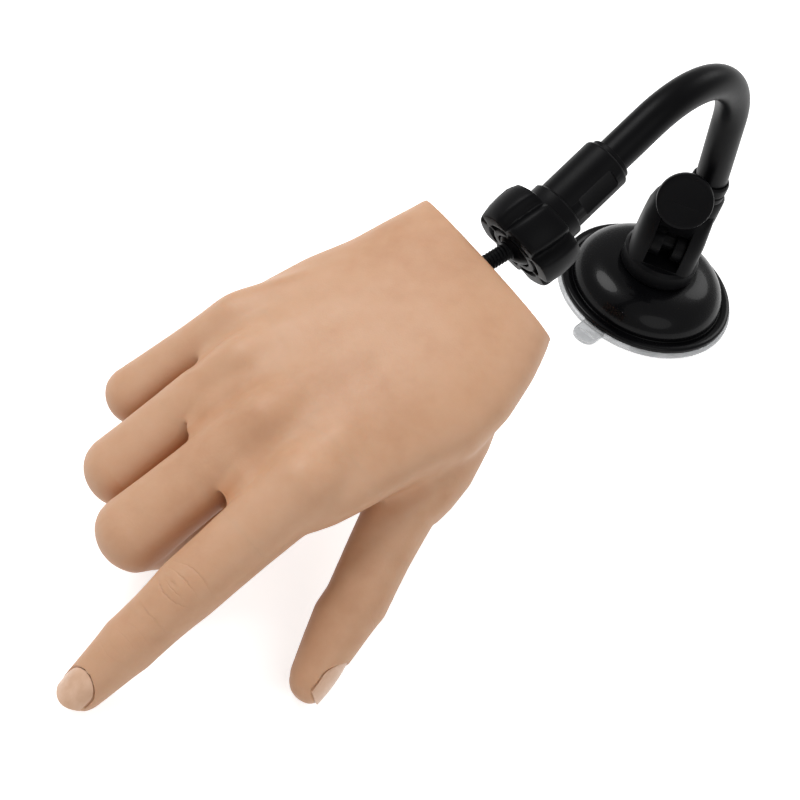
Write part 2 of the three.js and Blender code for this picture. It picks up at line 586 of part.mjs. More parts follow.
const clampNut = () => {
  const cavity = seat.outer + fit;
  const neckRoom = sleeve.radius + fit;
  const rim = Math.sqrt((ball.radius + fit) ** 2 - (nut.bottom - ball.distance) ** 2);
  const outline = [[neckRoom, nut.collarTop], [nut.collarRadius - 0.8, nut.collarTop],
    [nut.collarRadius, nut.collarTop + 0.8], [nut.collarRadius, nut.lobesTop],
    [nut.radius - 1.6, nut.lobesTop], [nut.radius - 0.4, nut.lobesTop + 3], [nut.radius, nut.lobesTop + 8],
    [nut.radius - 0.3, nut.bottom - 3], [nut.radius - 1.2, nut.bottom], [rim, nut.bottom],
    [rim, nut.bottom - 0.5], [ball.radius + fit, ball.distance], [cavity, ball.distance],
    [cavity, sleeve.length + fit], [neckRoom, sleeve.length + fit], [neckRoom, nut.collarTop]];
  let solid = toSolid(turned(outline, 30));
  const tools = [];
  for (let i = 0; i < nut.lobes; i += 1) {
    const turn = (2 * Math.PI * i) / nut.lobes;
    const groove = cylinder(nut.grooveRadius, nut.lobesTop - 1, nut.bottom + 1, 8).scale(1.5, 1, 1)
      .translate(0, nut.radius + nut.grooveRadius - nut.lobeDepth, 0).rotateZ(turn);
    const hollow = new THREE.Shape();
    hollow.absarc(0, 0, nut.radius - 2.2, -rad(20), rad(20), false);
    hollow.absarc(0, 0, ball.radius + 1, rad(20), -rad(20), true);
    hollow.closePath();
    const crescent = new THREE.ExtrudeGeometry(hollow, { depth: 4, bevelEnabled: false, curveSegments: 3 })
      .translate(0, 0, nut.bottom - 3).rotateZ(turn);
    tools.push(groove, crescent);
  }
  solid = cut(solid, ...tools);
  return toGeometry(cut(solid, ballRoom()));
};

const ballSeat = () => {
  const top = sleeve.length + fit;
  const ring = cylinder(seat.outer, top, top + seat.depth, 24);
  return toGeometry(cut(toSolid(ring), ballRoom()));
};

const ballStud = () => {
  const sphere = new THREE.SphereGeometry(ball.radius, 18, 12);
  const neckBar = cylinder(ball.neckRadius, 0, ball.toWrist + ball.studLength, 12);
  const collar = cylinder(ball.collarRadius, ball.toWrist - 4, ball.toWrist - fit, 6);
  return toGeometry(joined(sphere, neckBar, collar));
};

// Hand
const wristRing = (x, inset) => {
  const shrink = wrist.rim + inset;
  return palmRing([x, wrist.ulnar - shrink, wrist.radial - shrink, wrist.back - shrink, wrist.palm - shrink]);
};

const wristPlug = () => {
  const bore = cylinder(ball.neckRadius + fit, -2, ball.studLength + 1 + fit, 12).rotateY(Math.PI / 2);
  return toGeometry(cut(toSolid(skinOver([wristRing(0.4, fit), wristRing(wrist.plugLength, fit)])), bore));
};

const metacarpalFrame = (finger) => {
  const from = new THREE.Vector3(...finger.heel);
  const to = new THREE.Vector3(...finger.knuckle);
  const x = to.clone().sub(from).normalize();
  const axis = new THREE.Vector3(0, 1, 0).applyMatrix4(turnedFrame([0, 0, 0], finger.splay, 0, finger.roll));
  const z = x.clone().cross(axis).normalize();
  const y = z.clone().cross(x);
  return { frame: new THREE.Matrix4().makeBasis(x, y, z).setPosition(to), length: to.distanceTo(from) };
};

// Forks of the palm's frame point along each finger's own direction at rest zero flexion
const knuckleFrame = (finger) => {
  const pitch = finger.pitch ?? 0;
  return turnedFrame(finger.knuckle, finger.splay, pitch, finger.roll);
};

// The bar from the palm's base to the middle of a fork's bridge
const palmBars = (grow) => Object.values(fingers).map((finger) => {
  const from = new THREE.Vector3(...finger.heel);
  const to = new THREE.Vector3(forkBack + bone.bridge / 2, 0, 0).applyMatrix4(knuckleFrame(finger));
  const x = to.clone().sub(from).normalize();
  const y = new THREE.Vector3(0, 0, 1).cross(x).normalize();
  const frame = new THREE.Matrix4().makeBasis(x, y, x.clone().cross(y)).setPosition(to);
  const halfY = bone.width / 2 + 0.8 + grow;
  const halfZ = bone.depth / 2 + grow;
  return placed(block(-to.distanceTo(from), 0, -halfY, halfY, -halfZ, halfZ), frame);
});

const palmBlock = (grow) => block(palmBase.start - grow, palmBase.end + grow, -palmBase.ulnar - grow,
  palmBase.radial + grow, -palmBase.halfDepth - grow, palmBase.halfDepth + grow);

const palmFrame = () => {
  const forks = Object.values(fingers)
    .flatMap((finger) => forkAt(0).map((geometry) => placed(geometry, knuckleFrame(finger))));
  const studRoom = cylinder(ball.neckRadius + fit, 0, ball.studLength + 2, 12).rotateY(Math.PI / 2);
  return toGeometry(cut(joined(palmBlock(0), ...palmBars(0), ...forks), studRoom));
};

const palmSkin = () => {
  let solid = toSolid(skinOver(palmStations.map((station) => palmRing(station))));
  // the skin ends along the row of knuckles
  const row = ['little', 'ring', 'middle', 'index'].map((name) => fingers[name].knuckle);
  const last = row.length - 1;
  const farEnd = row[last][0] + palm.cutReach;
  const front = new THREE.Shape();
  front.moveTo(row[0][0] - palm.frontSide, -palm.cutReach);
  front.lineTo(row[0][0] - palm.webReach, row[0][1] - fingers.little.half[0]);
  row.forEach(([x, y]) => front.lineTo(x - palm.webReach, y));
  front.lineTo(row[last][0] - palm.webReach, row[last][1] + fingers.index.half[0]);
  front.lineTo(row[last][0] - palm.frontEdge, palm.cutReach);
  front.lineTo(farEnd, palm.cutReach);
  front.lineTo(farEnd, -palm.cutReach);
  front.closePath();
  const column = { depth: 2 * palm.cutReach, bevelEnabled: false };
  const beyond = new THREE.ExtrudeGeometry(front, column).translate(0, 0, -palm.cutReach);
  solid = cut(solid, beyond);
  Object.entries(fingers).forEach(([name, finger]) => {
    const { frame, length } = metacarpalFrame(finger);
    const isThumb = name === 'thumb';
    const [half, depth] = [finger.half[0], finger.depth[0]];
    const grow = isThumb ? thenar.root : 0.85;
    const back = isThumb ? length - thenar.short : 42;
    const middle = isThumb ? thenar.middle : 0.95;
    const rings = [ovalRing(-back, 0, isThumb ? 0 : -2, half * grow, depth * grow, depth * grow),
      ovalRing(-back / 2, 0, 0, half * middle, depth * middle, depth * middle),
      ovalRing(0, 0, 0, half, depth, depth)];
    solid = solid.add(toSolid(placed(skinOver(rings), frame)));
  });
  Object.values(fingers).forEach((finger) => {
    const knuckle = knuckleFrame(finger);
    const half = Math.max(...finger.half) + 2 * fit;
    const reach = 2.4 * (finger.depth[0] + 1);
    const ahead = block(0, 40, -half, half, -45, 20);
    const wedge = (finger.high[0] + 2) / 2;
    const under = bendRoom(finger.depth[0] + 1, half, wedge, -1);
    const below = block(-reach * Math.tan(rad(wedge)), 1, -half, half, -45, -reach + 0.01);
    solid = cut(solid, placed(ahead, knuckle), placed(under, knuckle), placed(below, knuckle));
  });
  Object.values(fingers).forEach((finger) => {
    solid = solid.add(toSolid(placed(oval(finger.half[0], finger.depth[0]), knuckleFrame(finger))));
  });
  Object.values(fingers).forEach((finger) => {
    const slot = eyeSlot(finger.depth[0] + 6, finger.low[0], finger.high[0]);
    solid = cut(solid, ...[slot, ...forkPocket(0)].map((geometry) => placed(geometry, knuckleFrame(finger))));
  });
  const mouth = skinOver([wristRing(-1, 0), wristRing(palmBase.start, 0)]);
  return toGeometry(cut(solid, mouth, palmBlock(fit), ...palmBars(fit)));
};

// Assembly
const model = new THREE.Group();

const base = new THREE.Group();
base.add(mesh('suction_film', suctionFilm(), finish.film));
base.add(mesh('dome_shell', domeShell(), finish.glossBlack));
base.add(mesh('pull_stem', pullStem(), finish.steel));
base.add(mesh('turret_housing', turretHousing(), finish.satinBlack));
base.add(mesh('lever_pin', leverPin(), finish.steel));
base.add(mesh('cam_lever', camLever(), finish.satinBlack));
base.add(mesh('ferrule_ring', ferruleRing(), finish.satinBlack));
model.add(base);

// Gooseneck: a root piece held in the housing, then one piece after each bend
const inSocket = (depth) => new THREE.Matrix4().makeTranslation(neck.x, neck.y, neck.ferruleTop - depth);
const rootRings = [inSocket(neck.rootDepth - 2), inSocket(neck.rootDepth / 2), armFrame(0),
  armFrame(tube.joints[0])].map((frame) => roundRing(frame, tube.radius));
const rootTube = joined(skinOver(rootRings), tubeBall(tube.radius, tube.joints[0]));
model.add(mesh('gooseneck_root', toGeometry(rootTube), finish.satinBlack));
tube.joints.forEach((from, i) => {
  const isLast = i === tube.joints.length - 1;
  const to = isLast ? armLength + sleeve.insert - fit : tube.joints[i + 1];
  model.add(mesh(`gooseneck_${i + 1}`, tubeSegment(from, to, !isLast), finish.satinBlack));
});

const armEnd = new THREE.Group();
armEnd.applyMatrix4(armFrame(armLength));
armEnd.add(mesh('sleeve', sleeveBody(), finish.satinBlack));
armEnd.add(mesh('clamp_nut', clampNut(), finish.satinBlack));
armEnd.add(mesh('ball_seat', ballSeat(), finish.satinBlack));
model.add(armEnd);

// The hand hangs on the ball: its own axes from its heading and slope
const ballCentre = new THREE.Vector3(0, 0, ball.distance).applyMatrix4(armFrame(armLength));
const handX = new THREE.Vector3(Math.cos(rad(wrist.heading)) * Math.cos(rad(wrist.slope)),
  Math.sin(rad(wrist.heading)) * Math.cos(rad(wrist.slope)), -Math.sin(rad(wrist.slope)));
const handY = new THREE.Vector3(0, 0, 1).cross(handX).normalize();
const handZ = handX.clone().cross(handY);
const hand = new THREE.Group();
hand.applyMatrix4(new THREE.Matrix4().makeBasis(handX, handY, handZ)
  .setPosition(ballCentre.clone().addScaledVector(handX, ball.toWrist)));

const stud = mesh('ball_stud', ballStud(), finish.steel);
stud.geometry.rotateY(Math.PI / 2).translate(-ball.toWrist, 0, 0);
hand.add(stud);
hand.add(mesh('wrist_plug', wristPlug(), finish.satinBlack));
hand.add(mesh('palm_frame', palmFrame(), finish.steel));
hand.add(mesh('palm_skin', palmSkin(), finish.skin));

const phalanxNames = { 3: ['proximal', 'middle', 'distal'], 2: ['proximal', 'distal'] };
Object.entries(fingers).forEach(([name, finger]) => {
  let carrier = new THREE.Group();
  carrier.applyMatrix4(knuckleFrame(finger));
  hand.add(carrier);
  phalanxNames[finger.length.length].forEach((part, i) => {
    const joint = new THREE.Group();
    joint.rotation.y = rad(finger.rest[i]);
    carrier.add(joint);
    const isTip = i === finger.length.length - 1;
    joint.add(mesh(`${name}_${part}_skin`, toGeometry(skinBetween(finger, i)), finish.skin));
    joint.add(mesh(`${name}_${part}_bone`, boneGeometry(finger.length[i], !isTip), finish.steel));
    if (isTip) {
      const nail = nailSolid(finger.length[i], finger.half[i + 1], finger.depth[i + 1]);
      joint.add(mesh(`${name}_nail`, toGeometry(nail), finish.nail));
    }
    const nextCarrier = new THREE.Group();
    nextCarrier.position.x = finger.length[i];
    joint.add(nextCarrier);
    carrier = nextCarrier;
  });
});
model.add(hand);

export default model;
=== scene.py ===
# Nail practice hand: silicone hand on a gooseneck arm with a suction base
import json
from math import atan2, copysign, cos, exp, hypot, pi, radians, sin, sqrt

import bmesh
import bpy
import numpy as np
from mathutils import Matrix, Vector

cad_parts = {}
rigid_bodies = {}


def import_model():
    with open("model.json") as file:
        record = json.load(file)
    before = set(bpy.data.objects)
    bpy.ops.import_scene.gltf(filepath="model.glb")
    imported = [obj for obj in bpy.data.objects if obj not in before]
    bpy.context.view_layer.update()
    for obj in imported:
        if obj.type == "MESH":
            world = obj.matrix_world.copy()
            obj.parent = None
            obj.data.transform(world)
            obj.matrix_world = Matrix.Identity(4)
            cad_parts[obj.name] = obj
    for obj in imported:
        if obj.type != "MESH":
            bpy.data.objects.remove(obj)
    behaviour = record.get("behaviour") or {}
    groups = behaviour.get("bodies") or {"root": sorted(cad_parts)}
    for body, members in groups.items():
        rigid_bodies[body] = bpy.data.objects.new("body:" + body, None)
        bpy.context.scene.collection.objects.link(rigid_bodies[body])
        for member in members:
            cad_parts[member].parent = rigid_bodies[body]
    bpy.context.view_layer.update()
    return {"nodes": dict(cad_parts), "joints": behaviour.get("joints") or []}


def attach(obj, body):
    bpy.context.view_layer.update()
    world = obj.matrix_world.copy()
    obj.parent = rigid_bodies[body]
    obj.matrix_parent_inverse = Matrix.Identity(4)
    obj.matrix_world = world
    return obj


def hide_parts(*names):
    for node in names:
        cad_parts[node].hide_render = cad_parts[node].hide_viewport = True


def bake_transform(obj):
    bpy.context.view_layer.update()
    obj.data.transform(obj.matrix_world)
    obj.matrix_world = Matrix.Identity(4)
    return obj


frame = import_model()
scene = bpy.context.scene
mm = 0.001
xAxis, yAxis, zAxis = Vector((1, 0, 0)), Vector((0, 1, 0)), Vector((0, 0, 1))
joints = {j["name"]: j for j in frame["joints"]}
print("frame loaded")


# Small helpers shared by every piece
def axesMatrix(x, y, z, place):
    matrix = Matrix((x, y, z)).transposed().to_4x4()
    matrix.translation = place
    return matrix


def newObject(name, bm, smooth=True):
    mesh = bpy.data.meshes.new(name)
    bmesh.ops.recalc_face_normals(bm, faces=bm.faces)
    bm.to_mesh(mesh)
    bm.free()
    mesh.polygons.foreach_set("use_smooth", [smooth] * len(mesh.polygons))
    piece = bpy.data.objects.new(name, mesh)
    scene.collection.objects.link(piece)
    return piece


def modify(piece, kind, **settings):
    modifier = piece.modifiers.new(kind.lower(), kind)
    for key, value in settings.items():
        setattr(modifier, key, value)
    bpy.context.view_layer.update()
    depsgraph = bpy.context.evaluated_depsgraph_get()
    mesh = bpy.data.meshes.new_from_object(piece.evaluated_get(depsgraph))
    piece.modifiers.clear()
    old = piece.data
    piece.data = mesh
    bpy.data.meshes.remove(old)


def bevelEdges(piece, width, segments, angle):
    modify(piece, "BEVEL", width=width * mm, segments=segments, limit_method="ANGLE", angle_limit=radians(angle))


def ringEdges(bm, loop):
    return [bm.edges.get((loop[i], loop[i - 1])) for i in range(len(loop))]


def loftRings(bm, rings, closed=True):
    # a circle is extruded ring by ring and each ring takes its own outline
    start = bmesh.ops.create_circle(bm, segments=len(rings[0]), radius=1)["verts"]
    for vert, place in zip(start, rings[0]):
        vert.co = place
    current = list(start)
    first = list(start)
    for ring in rings[1:]:
        made = bmesh.ops.extrude_edge_only(bm, edges=ringEdges(bm, current))["geom"]
        fresh = [g for g in made if isinstance(g, bmesh.types.BMVert)]
        partner = {}
        for vert in fresh:
            for edge in vert.link_edges:
                other = edge.other_vert(vert)
                if other in current:
                    partner[other] = vert
        current = [partner[vert] for vert in current]
        for vert, place in zip(current, ring):
            vert.co = place
    if closed:
        for loop in (first, current):
            middle = sum((v.co for v in loop), Vector()) / len(loop)
            made = bmesh.ops.edgeloop_fill(bm, edges=ringEdges(bm, loop))["faces"]
            poked = bmesh.ops.poke(bm, faces=made)["verts"]
            for vert in poked:
                vert.co = middle


def lathe(name, profile, steps, matrix=None, closed=True):
    # profile: (radius, height) in mm, spun about Z
    bm = bmesh.new()
    verts = [bm.verts.new((r * mm, 0, z * mm)) for r, z in profile]
    edges = [bm.edges.new(pair) for pair in zip(verts, verts[1:])]
    if closed:
        edges.append(bm.edges.new((verts[-1], verts[0])))
    bmesh.ops.spin(bm, geom=verts + edges, cent=(0, 0, 0), axis=(0, 0, 1), angle=2 * pi,
                   steps=steps, use_merge=True)
    bmesh.ops.remove_doubles(bm, verts=bm.verts, dist=0.00001)
    if matrix is not None:
        bmesh.ops.transform(bm, matrix=matrix, verts=bm.verts)
    return newObject(name, bm)


def roundedProfile(corners, radius, steps=4):
    # rounds every corner of a closed (radius, height) outline that isn't on the axis
    out = []
    count = len(corners)
    for i, corner in enumerate(corners):
        here = Vector(corner)
        before = Vector(corners[i - 1])
        after = Vector(corners[(i + 1) % count])
        if here.x < 0.01:
            out.append(tuple(here))
            continue
        reach = min(radius, (before - here).length * 0.45, (after - here).length * 0.45)
        a = here + (before - here).normalized() * reach
        b = here + (after - here).normalized() * reach
        for k in range(steps + 1):
            t = k / steps
            out.append(tuple(a * (1 - t) ** 2 + here * (2 * t * (1 - t)) + b * t * t))
    return out


def blockMesh(bm, x0, x1, y0, y1, z0, z1, matrix=None):
    made = bmesh.ops.create_cube(bm, size=1)["verts"]
    for vert in made:
        vert.co = Vector((x0 + (vert.co.x + 0.5) * (x1 - x0), y0 + (vert.co.y + 0.5) * (y1 - y0),
                          z0 + (vert.co.z + 0.5) * (z1 - z0))) * mm
    if matrix is not None:
        bmesh.ops.transform(bm, matrix=matrix, verts=made)


def circlePoint(place, radius, angle, height):
    return place @ (Vector((radius * cos(angle), radius * sin(angle), height)) * mm)


def carve(piece, tool, operation="DIFFERENCE", solver="EXACT"):
    modify(piece, "BOOLEAN", operation=operation, solver=solver, object=tool)
    bpy.data.objects.remove(tool)


def splitPieces(whole, labels, extras=None):
    # parts one mesh by label; the pieces keep the whole mesh's shading across the cuts
    mesh = whole.data
    names = sorted(set(labels))
    mesh.materials.clear()
    for name in names:
        mesh.materials.append(bpy.data.materials.new(name))
    mesh.polygons.foreach_set("material_index", [names.index(label) for label in labels])
    normals = np.empty(3 * len(mesh.vertices))
    mesh.vertices.foreach_get("normal", normals)
    for name, values in {"wholeNormal": normals, **(extras or {})}.items():
        layer = mesh.attributes.new(name, "FLOAT_VECTOR", "POINT")
        layer.data.foreach_set("vector", np.asarray(values, dtype=float).ravel())
    before = set(bpy.data.objects)
    bpy.context.view_layer.objects.active = whole
    whole.select_set(True)
    bpy.ops.mesh.separate(type="MATERIAL")
    pieces = {}
    for piece in [whole] + [o for o in bpy.data.objects if o not in before]:
        part = piece.data
        label = part.materials[0].name
        held = np.empty(3 * len(part.vertices))
        part.attributes["wholeNormal"].data.foreach_get("vector", held)
        part.attributes.remove(part.attributes["wholeNormal"])
        part.polygons.foreach_set("use_smooth", [True] * len(part.polygons))
        part.normals_split_custom_set_from_vertices(held.reshape(-1, 3))
        piece.name = part.name = label
        piece.select_set(False)
        pieces[label] = piece
    for piece in pieces.values():
        piece.data.materials.clear()
    for name in names:
        bpy.data.materials.remove(bpy.data.materials[name])
    return pieces


# Node helpers for the finishes
def feed(tree, node, inputs):
    # each input takes a value or the output that feeds it
    for socket, value in inputs.items():
        if isinstance(value, bpy.types.NodeSocket):
            tree.links.new(value, node.inputs[socket])
        else:
            node.inputs[socket].default_value = value


def addNode(tree, kind, inputs=None, **settings):
    node = tree.nodes.new("ShaderNode" + kind)
    for key, value in settings.items():
        setattr(node, key, value)
    feed(tree, node, inputs or {})
    return node.outputs


def makeFinish(name):
    finish = bpy.data.materials.new(name)
    finish.use_nodes = True
    tree = finish.node_tree
    return finish, tree, tree.nodes["Principled BSDF"], addNode(tree, "TexCoord")["Object"]


def addNoise(tree, coords, scale, detail=3, rough=0.5):
    return addNode(tree, "TexNoise", {"Scale": scale, "Detail": detail, "Roughness": rough, "Vector": coords})["Fac"]


def addMath(tree, operation, *values):
    return addNode(tree, "Math", dict(enumerate(values)), operation=operation)[0]


def addRamp(tree, value, stops):
    ramp = tree.nodes.new("ShaderNodeValToRGB")
    ends = ramp.color_ramp.elements
    for element, (place, colour) in zip(ends, (stops[0], stops[-1])):
        element.position = place
        element.color = (*colour, 1)
    for place, colour in stops[1:-1]:
        ends.new(place).color = (*colour, 1)
    feed(tree, ramp, {"Fac": value})
    return ramp.outputs["Color"]


def addBump(tree, height, strength, distance, **before):
    return addNode(tree, "Bump", {"Strength": strength, "Distance": distance, "Height": height, **before})["Normal"]


def addMix(tree, factor, first, colour):
    return addNode(tree, "Mix", {"Factor": factor, "A": first, "B": (*colour, 1)}, data_type="RGBA")["Result"]


def layeredFinish(name, tone, gloss, grain=None, **sockets):
    # tone: noise, then two colours; gloss: noise, then spread and least roughness;
    # grain: noise, then strength and distance of the bump; the rest is set as it is
    finish, tree, shader, coords = makeFinish(name)
    noise, low, high = tone
    colour = addRamp(tree, addNoise(tree, coords, *noise), [(0.3, low), (0.7, high)])
    noise, spread, least = gloss
    marks = addMath(tree, "MULTIPLY_ADD", addNoise(tree, coords, *noise), spread, least)
    if grain:
        noise, strength, distance = grain
        sockets["Normal"] = addBump(tree, addNoise(tree, coords, *noise), strength, distance)
    feed(tree, shader, {"Base Color": colour, "Roughness": marks, **sockets})
    return finish


def moulded(name, low, high, roughness, spread, grain=2600, bump=0.06, coat=0.0):
    # black moulded plastic: faint tone changes, handling marks in the gloss and a fine grain
    return layeredFinish(name, ((35, 4), low, high), ((160, 5, 0.65), spread, roughness - spread / 2),
                         ((grain, 2), bump, 0.0002),
                         **{"Specular IOR Level": 0.07, "Coat Weight": coat, "Coat Roughness": 0.08})


skinLook = {
    # noise: scale, detail, roughness
    "broad": (22, 3, 0.55), "blotch": (120, 4, 0.6), "blotchShare": 0.35,
    "warm": (0.500, 0.266, 0.148), "middle": (0.562, 0.322, 0.192), "pale": (0.604, 0.364, 0.230),
    "stops": (0.3, 0.5, 0.72),
    # painted shade in the creases: its colour and share; the crease bump is the moulded fold
    "creaseShade": (0.48, 0.23, 0.12), "creaseShadeTint": 0.22, "creaseBump": (0.6, 0.0009),
    "wander": (700, 2), "wanderReach": 1.1,
    # along the finger in mm, bow, half width, weight, middle and reach across
    "creases": [(-6.4, 0.035, 0.32, 0.35, 3.0, 5.5), (4.9, -0.045, 0.32, 0.4, 0.5, 6.0),
                (-2.3, 0.02, 0.26, 0.4, 1.5, 4.0), (0.9, 0.0, 0.7, 0.45, -0.3, 1.6),
                (2.2, -0.02, 0.24, 0.25, 1.0, 3.2)],
    # painted shade in the folds between the fingers and under the thumb web: its colour and share
    "crevice": (0.50, 0.165, 0.04), "creviceShadeTint": 0.3,
    "poreScale": 1500, "poreShare": 0.6, "fine": (900, 4, 0.6), "poreBump": (0.22, 0.00012),
    "sheen": (300, 3), "sheenSpread": 0.14, "sheenLeast": 0.43,
    "sockets": {"Specular IOR Level": 0.38, "Subsurface Weight": 0.26, "Subsurface Radius": (1.0, 0.42, 0.22),
                "Subsurface Scale": 0.002},
}


def skinFinish():
    look = skinLook
    finish, tree, shader, coords = makeFinish("beigeSilicone")

    def noise(key):
        return addNoise(tree, coords, *look[key])

    def calc(operation, *values):
        return addMath(tree, operation, *values)

    share = look["blotchShare"]
    tone = calc("MULTIPLY_ADD", noise("blotch"), share, calc("MULTIPLY", noise("broad"), 1 - share))
    colour = addRamp(tree, tone, list(zip(look["stops"], (look["warm"], look["middle"], look["pale"]))))
    # folds: u runs along the finger from the joint, v across it, w is how deep its creases are
    place = addNode(tree, "Attribute", attribute_name="foldPlace")["Vector"]
    u, v, depth = addNode(tree, "SeparateXYZ", {0: place})
    reach = look["wanderReach"]
    along = calc("ADD", u, calc("MULTIPLY_ADD", noise("wander"), reach, -reach / 2))
    creases = 0.0
    for centre, curve, width, weight, middle, reach in look["creases"]:
        side = calc("SUBTRACT", v, middle)
        across = calc("MULTIPLY", side, side)
        bowed = calc("MULTIPLY_ADD", across, curve, centre)
        away = calc("DIVIDE", calc("SUBTRACT", along, bowed), width)
        away = calc("MULTIPLY", calc("MULTIPLY", away, away), -1.0)
        spread = calc("MULTIPLY", across, -1 / reach ** 2)
        creases = calc("MULTIPLY_ADD", calc("EXPONENT", calc("ADD", away, spread)), weight, creases)
    cutIn = calc("MULTIPLY", creases, depth)
    # painted shade: the creases are darkened where shade falls in them
    creaseShaded = addMix(tree, calc("MULTIPLY", cutIn, look["creaseShadeTint"]), colour, look["creaseShade"])
    # painted shade: folds between the fingers and under the thumb web are darkened and warmed where shade falls in
    # them
    crevice = addNode(tree, "Attribute", attribute_name="crevice")["Fac"]
    colour = addMix(tree, calc("MULTIPLY", crevice, look["creviceShadeTint"]), creaseShaded, look["crevice"])
    pores = addNode(tree, "TexVoronoi", {"Scale": look["poreScale"], "Vector": coords})["Distance"]
    grain = calc("MULTIPLY_ADD", pores, look["poreShare"], noise("fine"))
    skinBump = addBump(tree, grain, *look["poreBump"])
    bump = addBump(tree, calc("MULTIPLY", cutIn, -1.0), *look["creaseBump"], Normal=skinBump)
    sheen = calc("MULTIPLY_ADD", noise("sheen"), look["sheenSpread"], look["sheenLeast"])
    feed(tree, shader, {"Base Color": colour, "Normal": bump, "Roughness": sheen, **look["sockets"]})
    return finish


finishes = {
    "skin": skinFinish(),
    "satin": moulded("satinBlackPlastic", (0.0018, 0.0018, 0.0022), (0.004, 0.004, 0.0045), 0.42, 0.10),
    "sheath": moulded("satinBlackSheath", (0.0016, 0.0016, 0.002), (0.0035, 0.0035, 0.004), 0.38, 0.10,
                      grain=1900, bump=0.08),
    "gloss": moulded("glossBlackPlastic", (0.0012, 0.0012, 0.0016), (0.0026, 0.0026, 0.003), 0.27, 0.10,
                     grain=900, bump=0.01, coat=0.12),
    "lining": moulded("darkLining", (0.012, 0.011, 0.010), (0.022, 0.020, 0.018), 0.6, 0.12),
    "nail": layeredFinish("clearBeigeNail", ((260,), (0.60, 0.365, 0.235), (0.70, 0.455, 0.315)),
                          ((500,), 0.12, 0.24), ((700, 2), 0.08, 0.0002), **{"Coat Weight": 0.25}),
    "film": layeredFinish("clearGreyFilm", ((90,), (0.42, 0.43, 0.44), (0.56, 0.57, 0.58)),
                          ((220,), 0.12, 0.16), ((180,), 0.1, 0.0004),
                          **{"Transmission Weight": 0.55, "IOR": 1.42}),
    "steel": layeredFinish("zincPlatedSteel", ((200, 4), (0.34, 0.34, 0.36), (0.48, 0.48, 0.50)),
                           ((900,), 0.2, 0.25), Metallic=1.0),
}


def dress(piece, finish):
    piece.data.materials.clear()
    piece.data.materials.append(finishes[finish])


print("finishes made")

# The hand's own axes: x to the fingers, y to the thumb side, z out of the back
handJoint = joints["hand_spin"]
handX = Vector(handJoint["axis"]).normalized()
handY = zAxis.cross(handX).normalized()
handZ = handX.cross(handY)
handOrigin = Vector(handJoint["pos_m"])
handMatrix = axesMatrix(handX, handY, handZ, handOrigin)
handTurn = np.array([list(handX), list(handY), list(handZ)])


def inHand(x, y, z):
    return handOrigin + (handX * x + handY * y + handZ * z) * mm


# how far each joint is bent at rest, the last bone's length, half widths and depths from the root
# to the tip, where the long bone starts in the palm and how deep the creases are
fingers = {
    "index": {"rest": [12, 4, 2], "last": 24.4, "half": [12.4, 10.3, 9.2, 7.2], "depth": [11, 9.3, 7.9, 6.5],
              "heel": (30, 17, -3), "creases": 1.0},
    "middle": {"rest": [16.6, 110, 44], "last": 26, "half": [12.0, 12.6, 9.8, 7.6], "depth": [11, 10.2, 8, 6.4],
               "heel": (30, 4, -2), "creases": 0.0},
    "ring": {"rest": [21.2, 110, 44], "last": 26, "half": [10.9, 12.1, 9.4, 7.2], "depth": [10.4, 9.7, 7.6, 6.2],
             "heel": (30, -8, -2), "creases": 0.0},
    "little": {"rest": [25, 104, 42], "last": 23, "half": [8.8, 9.9, 8, 6.4], "depth": [9.3, 7.9, 7.1, 5.6],
               "heel": (30, -19, -3), "creases": 0.0},
    "thumb": {"rest": [0, 2.3], "last": 35.4, "half": [11.1, 10.4, 8.2], "depth": [11.4, 10.1, 7],
              "heel": (24, 25, -8), "creases": 0.6},
}
jointParts = {3: ["knuckle", "middle_joint", "end_joint"], 2: ["knuckle", "end_joint"]}
bodyParts = {3: ["proximal", "middle", "distal"], 2: ["proximal", "distal"]}


def readBones():
    # each bone: start, end, its own axes, sizes at both ends
    for name, finger in fingers.items():
        finger["parts"] = jointParts[len(finger["rest"])]
        finger["names"] = bodyParts[len(finger["rest"])]
        places = [Vector(joints[f"{name}_{part}"]["pos_m"]) for part in finger["parts"]]
        axis = Vector(joints[f"{name}_{finger['parts'][0]}"]["axis"]).normalized()
        bones = []
        for i, place in enumerate(places):
            if i + 1 < len(places):
                ahead = (places[i + 1] - place).normalized()
                end = places[i + 1]
            else:
                ahead = Matrix.Rotation(radians(finger["rest"][i]), 3, axis) @ bones[-1]["ahead"]
                end = place + ahead * finger["last"] * mm
            bones.append({"start": place, "end": end, "ahead": ahead, "axis": axis, "up": ahead.cross(axis),
                          "half": finger["half"][i:i + 2], "depth": finger["depth"][i:i + 2]})
        finger["bones"] = bones
        finger["base"] = inHand(*finger["heel"])


readBones()


def ovalRing(centre, side, up, half, above, below, power=2.15, sides=28):
    ring = []
    for i in range(sides):
        a = 2 * pi * (i + 0.5) / sides
        c, s = cos(a), sin(a)
        across = copysign(abs(c) ** (2 / power), c) * half
        rise = copysign(abs(s) ** (2 / power), s) * (above if s > 0 else below)
        ring.append(centre + (side * across + up * rise) * mm)
    return ring


